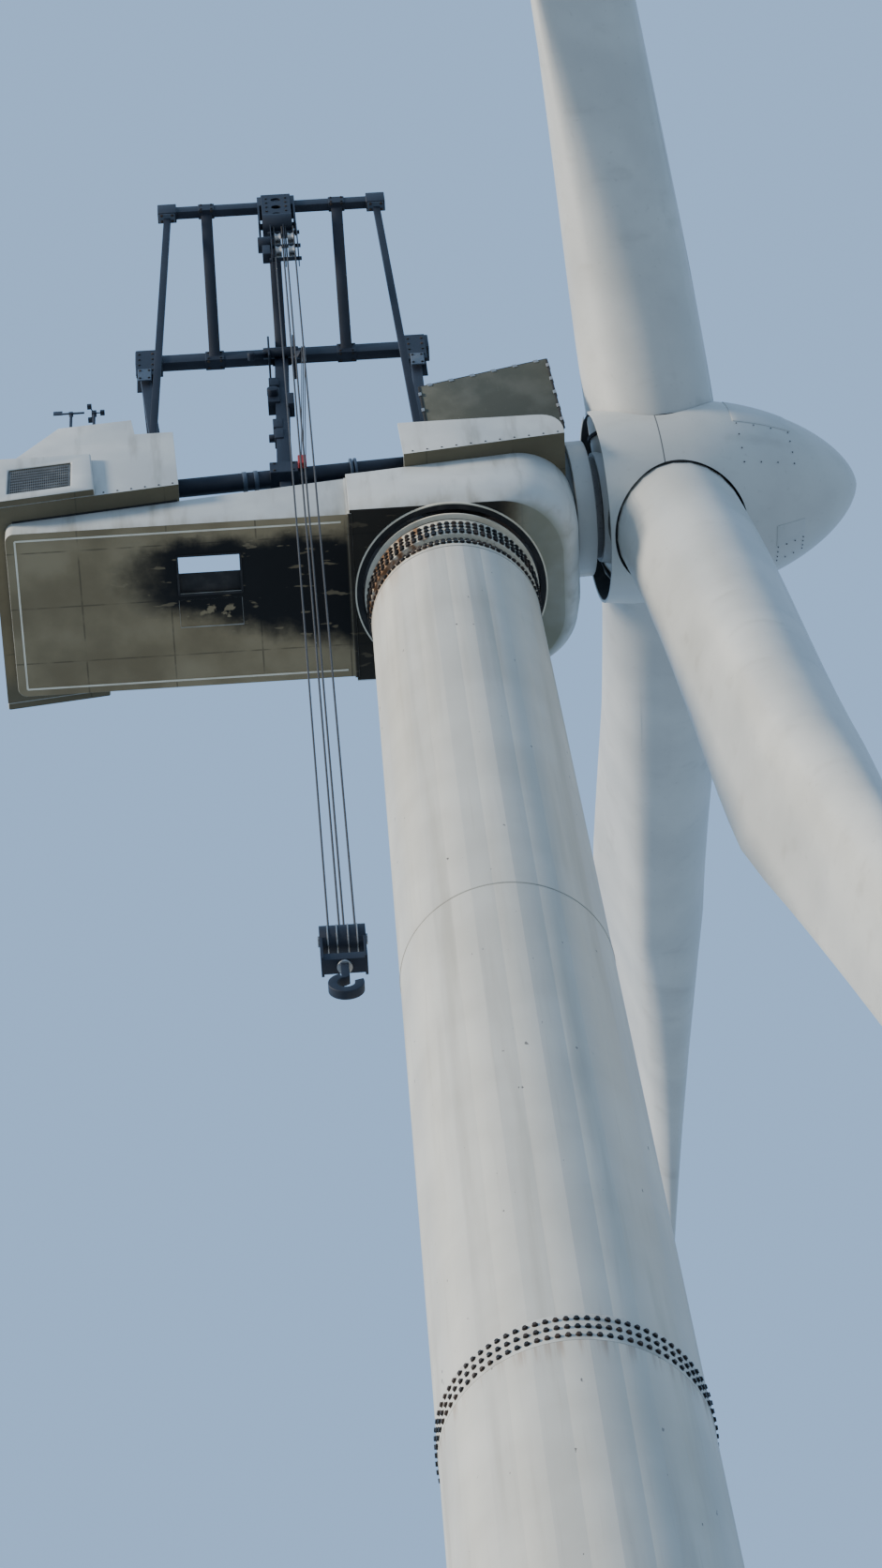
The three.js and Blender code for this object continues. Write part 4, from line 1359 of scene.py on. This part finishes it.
@dataclass
class ServiceCrane:
    """The bolted frame that leans out over the near side."""

    lower: tuple[float, float] = (-1.05, 7.12)
    upper: tuple[float, float] = (-2.70, 8.97)
    posts: tuple[float, float] = (-3.10, -1.14)
    boom: float = -2.11
    base_y: float = -1.08
    base: tuple[Point, Point] = ((-4.19, 0.0, 2.451), (-0.02, 0.0, 2.868))
    base_radius: float = 0.13
    bolt: tuple[float, float] = (0.017, 0.012)
    lines: tuple[Point, Point] = ((-1.79, -1.47, 6.44), (-1.92, -1.3, 2.7))
    line_gaps: tuple[float, float] = (0.02, 0.03)
    line_radius: float = 0.007
    clamps: tuple[tuple[float, float], ...] = ((-3.9, 0.17), (-2.2, 0.2), (-0.19, 0.17))
    bands: tuple[Point, ...] = (
        (-2.76, 0.03, 0.012),
        (-2.6, 0.03, 0.012),
        (-1.26, 0.018, 0.05),
        (-1.2, 0.018, 0.05),
    )
    knuckle: tuple[Shape, ...] = (
        Box((-2.31, -1.3, 6.62), (-2.28, -0.88, 7.34)),
        Box((-1.94, -1.3, 6.62), (-1.91, -0.88, 7.34)),
        Rod((-2.38, -1.22, 6.86), (-1.86, -1.22, 6.86), 0.085, 28, 0.008),
        Bar((-2.3, -1.22, 6.82), (-2.56, -1.3, 6.6), 0.08, 0.06, 0.01),
        Rod((-2.56, -1.36, 6.6), (-2.56, -1.24, 6.6), 0.055, 20, 0.01),
        Bar((-1.93, -1.2, 6.78), (-1.83, -1.34, 6.46), 0.06, 0.12, 0.01),
    )
    winch: tuple[Shape, ...] = (
        Box((-2.36, -1.2, 5.1), (-2.18, -0.98, 5.62)),
        Box((-2.33, -1.22, 5.66), (-2.18, -1.0, 5.94)),
        Box((-2.3, -1.2, 3.8), (-2.17, -1.02, 4.12)),
        Box((-2.31, -1.19, 4.2), (-2.17, -1.04, 4.5)),
        Box((-2.08, -1.24, 4.9), (-1.98, -1.02, 5.3)),
        Rod((-2.28, -1.3, 5.36), (-2.28, -1.18, 5.36), 0.085, 24, 0.01),
        Rod((-2.38, -1.1, 4.0), (-2.24, -1.1, 4.0), 0.06, 24, 0.008),
    )
    blocks: tuple[Shape, ...] = (
        *(Box((x, -2.81, 6.78), (x + 0.014, -2.59, 8.0)) for x in (-2.165, -1.972, -1.779)),
        *(Rod((-2.2, -2.7, z), (-1.73, -2.7, z), 0.03, 16, 0.004) for z in (6.84, 7.36, 7.9)),
        Rod((-2.36, -2.7, 7.45), (-2.17, -2.7, 7.45), 0.12, 28, 0.012),
        Box((-2.3, -2.78, 6.9), (-2.18, -2.62, 7.25)),
    )
    stop: Box = Box((-2.0, -1.33, 2.58), (-1.88, -1.24, 2.86), 0.012)
    head: Box = Box((-2.27, -2.842, 8.1), (-1.83, -2.826, 9.16), grids=((NEARWARD, 2, 5),))
    head_depth: float = 0.28
    head_holes: tuple[float, ...] = (8.32, 8.62, 8.92)

    def base_point(self, x: float, side: Side = Side.NEAR) -> Vector:
        """A point on the middle line of a base tube."""
        foot, tip = (Vector(end) for end in self.base)
        spot = foot.lerp(tip, (x - foot.x) / (tip.x - foot.x))
        return Vector((x, -side.value * self.base_y, spot.z))

    def build(self) -> None:
        """Model and dress the frame."""
        fitter = Fitter(Body.NACELLE, "crane_paint")
        parts = ["base_near", "base_far", "lower_beam", "upper_beam", "head", "mast", "boom"]
        parts += [f"{kind}_{end.value}" for end in End for kind in ("leg", "back_leg", "strut", "post")]
        for part in parts:
            fitter.refine("crane_" + part, "frame_" + part, Look.CRANE, 0.008)
        plates = self._plates()
        looks = {"frame_packing_plates": Look.CRANE_PALE}
        for name, boxes in plates.items():
            fitter.assemble(name, looks.get(name, Look.CRANE), boxes)
        fitter.assemble("frame_tube_bands", Look.CRANE_PALE, self._tube_bands(), True)
        fitter.assemble("mast_knuckle", Look.CRANE, self.knuckle, True)
        fitter.fit(self._control_sheave(), Look.BRIGHT)
        fitter.assemble("mast_winch_gear", Look.CRANE, self.winch, True)
        fitter.fit(self._head_plates(), Look.CRANE)
        fitter.assemble("upper_tackle_blocks", Look.CRANE, self.blocks, True)
        fitter.fit(self._block_sheaves(), Look.BRIGHT)
        fitter.assemble("mast_foot_stop", Look.RED, [self.stop])
        Fitter(Body.NACELLE, "wire_rope").assemble("mast_control_lines", Look.ROPE, self._lines())
        heads = [place for box in (*chain(*plates.values()), self.head) for place in box.heads()]
        bolts = Bench.copies(Bench.bolt(*self.bolt), heads, "frame_bolts")
        Fitter(Body.NACELLE, "bare_steel").fit(bolts, Look.BOLT)

    def _plates(self) -> dict[str, list[Box]]:
        """The straps, plates and clamps that are bolted to the frame.

        Returns:
            Their boxes, by the pieces' names.
        """
        near, under = (NEARWARD, 2, 2), (DOWNWARD, 2, 2)
        (low_y, low_z), (top_y, top_z) = self.lower, self.upper
        wraps = [((x, low_y, low_z), (0.14, 0.085, 0.165)) for x in (*self.posts, self.boom)]
        wraps += [((x, top_y, top_z), (0.12, 0.075, 0.125)) for x in self.posts]
        straps = [block(*wrap, near, under) for wrap in wraps]
        ends, packing = [], []
        for x in (-4.12, -0.12):
            ends.append(block((x, low_y - 0.135, low_z - 0.26), (0.15, 0.011, 0.46), (NEARWARD, 2, 4)))
            ends.append(block((x, low_y + 0.135, low_z - 0.26), (0.15, 0.011, 0.46)))
        for x in (-4.14, -0.12):
            packing.append(block((x, low_y - 0.158, low_z - 0.77), (0.1, 0.01, 0.21), near))
        for x in (-3.69, -0.55):
            packing.append(block((x, top_y, top_z - 0.19), (0.12, 0.07, 0.008), under))
        clamps = []
        for x, half in self.clamps:
            seat = self.base_point(x) + Vector((0, 0, 0.025))
            clamps.append(block(seat, (half, 0.165, 0.175), near, bevel=0.012))
        return {
            "frame_beam_straps": straps,
            "frame_end_plates": ends,
            "frame_packing_plates": packing,
            "frame_foot_clamps": clamps,
        }

    def _lines(self) -> Iterator[Rod]:
        """The three control lines, closer together at the top.

        Returns:
            The lines.
        """
        for step in (-1, 0, 1):
            ends = [(x + step * gap, y, z) for (x, y, z), gap in zip(self.lines, self.line_gaps)]
            yield Rod(*ends, self.line_radius, 10)

    def _tube_bands(self) -> Iterator[Rod]:
        """Pale bands and a flanged joint round the base tubes.

        Returns:
            The bands.
        """
        for side in Side:
            for x, half, proud in self.bands:
                ends = [self.base_point(x + step, side) for step in (-half, half)]
                yield Rod(*ends, self.base_radius + proud, 32, 0.003)

    def _head_plates(self) -> Piece:
        """Side plates of the head with their lightening holes.

        Returns:
            The plates.
        """
        (x0, y0, z0), (x1, y1, z1) = self.head.low, self.head.high
        made = []
        for step in (0.0, self.head_depth):
            made.append(Box((x0, y0 + step, z0), (x1, y1 + step, z1)).make())
            for z in self.head_holes:
                ends = [((x0 + x1) / 2, y0 + step + reach, z) for reach in (-0.1, 0.1)]
                Bench.cut(made[-1], Rod(*ends, 0.075, 24).make())
        return Bench.joined(made, "head_side_plates")

    def _control_sheave(self) -> Piece:
        """The small sheave that the control lines pass over.

        Returns:
            The sheave.
        """
        outline = [(0.02, -0.03), (0.115, -0.03), (0.115, -0.018), (0.09, 0.0)]
        outline += [(0.115, 0.018), (0.115, 0.03), (0.02, 0.03)]
        return Bench.spun("control_sheave", outline, 40, turned_to(AHEAD, lifted(-1.79, -1.36, 6.44)))

    def _block_sheaves(self) -> Piece:
        """Sheaves in the upper blocks.

        Returns:
            The sheaves.
        """
        groove = [(0.02, -0.045), (0.105, -0.045), (0.085, 0.0), (0.105, 0.045), (0.02, 0.045)]
        places = [turned_to(AHEAD, lifted(x, -2.7, z)) for x in (-2.06, -1.87) for z in (7.1, 7.62)]
        return Bench.copies(Bench.spun("sheave", groove, 32), places, "upper_block_sheaves")


@dataclass
class Tackle:
    """The rope falls, the hook block and the hook."""

    falls: tuple[float, float] = (-2.05, -1.88)
    y: float = -2.7
    spread: float = 0.06
    radius: float = 0.011
    top: float = 7.9996
    low: float = -12.9996
    lift: float = 19.0

    def build(self) -> None:
        """Model and dress the tackle."""
        blocks = Fitter(Body.TACKLE, "crane_paint")
        blocks.refine("hook_block", "block_cheeks", Look.CRANE, 0.008)
        blocks.refine("hook", "forged_hook", Look.CRANE, 0.02, 3)
        blocks.assemble("block_fittings", Look.BRIGHT, self._block_fittings(), True)
        ropes = Fitter(Body.NACELLE, "wire_rope")
        for x, end in zip(self.falls, End):
            piece = self._bundle(x, f"rope_falls_{end.value}")
            ropes.fit(piece, Look.ROPE, f"tackle_ropes_{end.value}")
            length = self.top - self.low
            anchor = tuple(lifted(x, self.y, self.top))
            1 - self.lift / length
            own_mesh(piece)

    def _block_fittings(self) -> Iterator[Rod]:
        """Pin nuts, sheave rims and the swivel nut of the lower block.

        Returns:
            The fittings.
        """
        x, y, top = sum(self.falls) / 2, self.y, self.low - 0.0004
        pin = top - 0.17
        for end in (-0.25, 0.25):
            yield Rod((x + end, y, pin), (x + end * 1.08, y, pin), 0.06, 6, 0.004)
        for share in (-0.16, -0.06, 0.06, 0.16):
            yield Rod((x + share - 0.008, y, pin), (x + share + 0.008, y, pin), 0.178, 40, 0.003)
        yield Rod((x, y, top - 0.75), (x, y, top - 0.71), 0.085, 28, 0.006)

    def _bundle(self, x: float, name: str) -> Piece:
        """The four falls of one tackle.

        Args:
            x: Where the tackle hangs.
            name: The piece's name.

        Returns:
            The falls.
        """
        seed = Bench.drum(self.radius, self.top - self.low, 10)
        steps = product((-self.spread, self.spread), repeat=2)
        middle = (self.top + self.low) / 2
        places = [Matrix.Translation(lifted(x + dx, self.y + dy, middle)) for dx, dy in steps]
        return Bench.smooth(Bench.copies(seed, places, name), 60)


@dataclass(frozen=True)
class Seat:
    """A blade's place: its angle from straight down and its lean out of the rotor's plane, in degrees."""

    letter: str
    angle: float
    lean: float

    @property
    def way(self) -> Vector:
        """The blade's unit direction in the rotor's frame."""
        phi, out = math.radians(self.angle), math.radians(self.lean)
        return Vector((math.sin(out), math.sin(phi) * math.cos(out), -math.cos(phi) * math.cos(out)))


@dataclass(frozen=True)
class Hatch:
    """A hatch on the nose: angle and half width in degrees, distance ahead and half length in metres."""

    name: str
    angle: float
    ahead: float
    half_turn: float
    half_length: float


@dataclass
class Rotor:
    """The spinner, the shaft and the three blades, about the tilted shaft's axis."""

    seats: tuple[Seat, ...] = (Seat("a", -125.8, -2.1), Seat("b", -5.8, 0.3), Seat("c", 114.2, 3.5))
    hatches: tuple[Hatch, ...] = (
        Hatch("nose", 59.0, 1.36, 17.0, 0.42),
        Hatch("low", -24.0, 1.62, 8.0, 0.22),
    )
    radius: float = 1.42
    back: float = -1.0
    rim: float = 1.37
    recess: float = 0.24
    nose_start: float = 0.2
    nose_length: float = 2.6
    nose_steps: int = 26
    socket: float = 0.955
    socket_floor: float = 0.7
    socket_depth: float = 1.4
    hatch_proud: float = 0.009
    screw: tuple[float, float] = (0.011, 0.007)
    seal: tuple[float, float, float, float] = (0.925, 0.95, 1.02, 1.065)

    @property
    def frame(self) -> Matrix:
        """The rotor's frame: x along the shaft, from the hub's centre."""
        return Matrix.Translation(lifted(HUB_X, 0, HUB_Z)) @ Matrix.Rotation(-SHAFT_TILT, 4, "Y")

    @property
    def level(self) -> Matrix:
        """The turn that lays the z axis along the shaft."""
        return Matrix.Rotation(math.pi / 2, 4, "Y")

    def nose(self, ahead: float) -> float:
        """The spinner's radius at a distance ahead of the hub's centre."""
        share = max(0.0, (ahead - self.nose_start) / self.nose_length)
        return self.radius * (1 - share**1.8) ** 0.6

    def build(self) -> None:
        """Model and dress the rotor."""
        shells, metal = Fitter(Body.ROTOR, "housing"), Fitter(Body.ROTOR, "bare_steel")
        shells.fit(self._spinner(), Look.SPINNER, "spinner")
        metal.refine("main_shaft", "shaft_forging", Look.BRIGHT, 0.015)
        shells.fit(self._back_seal(), Look.SEAL)
        for seat in self.seats:
            node = "blade_" + seat.letter
            Fitter(Body.ROTOR, "blade_shell").fit(self._blade(node), Look.BLADE, node)
            place = self.frame @ turned_to(seat.way, Vector((0, 0, 0)))
            shells.fit(Bench.spun(f"root_seal_{seat.letter}", hoop(*self.seal), 72, place), Look.SEAL)
        for hatch in self.hatches:
            shells.fit(self._hatch(hatch), Look.HATCH)
            metal.fit(self._hatch_screws(hatch), Look.BOLT)

    def _spinner(self) -> Piece:
        """The spinner's shell with its three sockets.

        Returns:
            The spinner.
        """
        floor = self.back + self.recess
        outline = [(0.0, self.back), (0.78, self.back), (0.84, floor), (1.29, floor)]
        outline += [(self.rim - 0.04, self.back), (self.rim, self.back), (self.radius, self.back + 0.42)]
        for index in range(self.nose_steps):
            ahead = self.nose_start + math.sin(index / self.nose_steps * math.pi / 2) * self.nose_length
            outline.append((self.nose(ahead), ahead))
        outline.append((0.0, self.nose_start + self.nose_length))
        piece = Bench.spun("spinner_shell", outline, 96, self.level, 0.0, False)
        for seat in self.seats:
            middle = seat.way * (self.socket_floor + self.socket_depth / 2)
            tool = Bench.drum(self.socket, self.socket_depth, 96)
            Bench.cut(piece, Bench.settle(tool, turned_to(seat.way, middle)))
        return Bench.smooth(Bench.settle(piece, self.frame), 30)

    def _back_seal(self) -> Piece:
        """The black lining of the spinner's rear recess.

        Returns:
            The lining.
        """
        floor, rim = self.back + self.recess, self.rim - 0.04
        outline = [(0.845, floor - 0.012), (1.27, floor - 0.012), (rim - 0.014, self.back + 0.01)]
        outline += [(rim - 0.004, self.back + 0.01), (1.286, floor - 0.001), (0.845, floor - 0.001)]
        return Bench.spun("spinner_back_seal", outline, 96, self.frame @ self.level)

    @staticmethod
    def _blade(node: str) -> Piece:
        """A blade with its facets smoothed away.

        Args:
            node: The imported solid.

        Returns:
            The blade.
        """
        piece = Bench.refined(node, node + "_shell", 0.0)
        with Bench.editing(piece):
            limit = math.radians(60)
            bpy.ops.mesh.tris_convert_to_quads(face_threshold=limit, shape_threshold=limit)
        return Bench.smooth(piece, 50)

    def _hatch(self, hatch: Hatch) -> Piece:
        """A curved hatch plate lying on the nose.

        Args:
            hatch: Which hatch.

        Returns:
            The plate.
        """
        steps = 8
        ahead = [hatch.ahead + hatch.half_length * (2 * index / steps - 1) for index in range(steps + 1)]
        outline = [(self.nose(x) - 0.004, x) for x in ahead]
        outline += [(self.nose(x) + self.hatch_proud, x) for x in reversed(ahead)]
        start = math.radians(-hatch.angle - hatch.half_turn)
        place = self.frame @ Matrix.Rotation(start, 4, "X") @ self.level
        turn = math.radians(2 * hatch.half_turn)
        piece = Bench.spun("spinner_hatch_" + hatch.name, outline, 16, place, 0.0, True, turn)
        return Bench.smooth(Bench.bevelled(piece, 0.004, 2, 40.0), 40)

    def _hatch_screws(self, hatch: Hatch) -> Piece:
        """Screws round a hatch plate's edge.

        Args:
            hatch: Which hatch.

        Returns:
            The screws.
        """
        places = []
        for across in (-0.86, -0.3, 0.3, 0.86):
            for along in (-0.9, -0.3, 0.3, 0.9):
                if max(abs(across), abs(along)) < 0.8:
                    continue
                ahead = hatch.ahead + along * hatch.half_length
                angle = math.radians(hatch.angle + across * hatch.half_turn)
                out = Vector((0.0, -math.sin(angle), -math.cos(angle)))
                spot = AHEAD * ahead + out * (self.nose(ahead) + self.hatch_proud)
                slope = (self.nose(ahead - 0.02) - self.nose(ahead + 0.02)) / 0.04
                places.append(self.frame @ turned_to(out + AHEAD * slope, spot))
        return Bench.copies(Bench.bolt(*self.screw, False), places, "spinner_hatch_screws_" + hatch.name)


@dataclass
class Studio:
    """Camera, soft light and the pale floor far below."""

    camera_place: Point = (-2.531, -27.13, -32.78)
    yaw: float = 0.075
    pitch: float = 1.079
    roll: float = -0.129
    focal: float = 104.19
    sensor: float = 36.0
    reach: float = 400.0
    sun_from: Point = (-0.91, -0.37, 0.17)
    sun_strength: float = 5.0
    sun_size: float = math.radians(12)
    sun_colour: Colour = (1.0, 0.93, 0.82)
    sky_colour: Colour = (0.38, 0.60, 0.94)
    sky_strength: float = 0.95
    floor_size: float = 1600.0
    floor_depth: float = 50.0
    floor_colour: Colour = (0.55, 0.57, 0.58)

    def camera(self) -> None:
        """Set the camera where the photograph was taken from."""
        data = bpy.data.cameras.new("camera")
        data.sensor_fit = "VERTICAL"
        data.sensor_height = self.sensor
        data.lens = self.focal
        data.clip_end = self.reach
        flat = math.cos(self.pitch)
        ahead = Vector((math.sin(self.yaw) * flat, math.cos(self.yaw) * flat, math.sin(self.pitch)))
        level = Vector((math.cos(self.yaw), -math.sin(self.yaw), 0.0))
        upright = level.cross(ahead)
        right = math.cos(self.roll) * level + math.sin(self.roll) * upright
        up = math.cos(self.roll) * upright - math.sin(self.roll) * level
        turn = Matrix((right, up, -ahead)).transposed().to_4x4()
        camera = bpy.data.objects.new("camera", data)
        camera.matrix_world = Matrix.Translation(Vector(self.camera_place)) @ turn
        bpy.context.scene.collection.objects.link(camera)
        bpy.context.scene.camera = camera

    def light(self) -> None:
        """Set a low soft sun and an even pale sky."""
        data = bpy.data.lights.new("key", "SUN")
        data.energy = self.sun_strength
        data.angle = self.sun_size
        data.color = self.sun_colour
        key = bpy.data.objects.new("key", data)
        key.matrix_world = turned_to(Vector(self.sun_from), Vector((0, 0, 30)))
        bpy.context.scene.collection.objects.link(key)
        world = bpy.data.worlds.new("sky")
        world.use_nodes = True
        back = world.node_tree.nodes["Background"]
        back.inputs["Color"].default_value = (*self.sky_colour, 1.0)
        back.inputs["Strength"].default_value = self.sky_strength
        bpy.context.scene.world = world

    def floor(self) -> None:
        """Lay the pale floor."""
        Bench.clear()
        bpy.ops.mesh.primitive_plane_add(size=self.floor_size, location=(0, 0, -self.floor_depth))
        plane = bpy.context.object
        plane.name = "floor"
        plane.data.materials.append(Board("floor_pale").close(self.floor_colour, 0.8))


def main() -> None:
    """Build every sub-assembly in order and report each piece."""
    logging.basicConfig(level=logging.INFO, format="%(message)s")
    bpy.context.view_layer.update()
    studio = Studio()
    studio.camera()
    studio.light()
    for assembly in (TowerSection(), YawAndBed(), Housing(), RoofLid(), ServiceCrane(), Tackle(), Rotor()):
        log.info("%s", type(assembly).__name__)
        assembly.build()
    studio.floor()


if __name__ == "__main__":
    main()
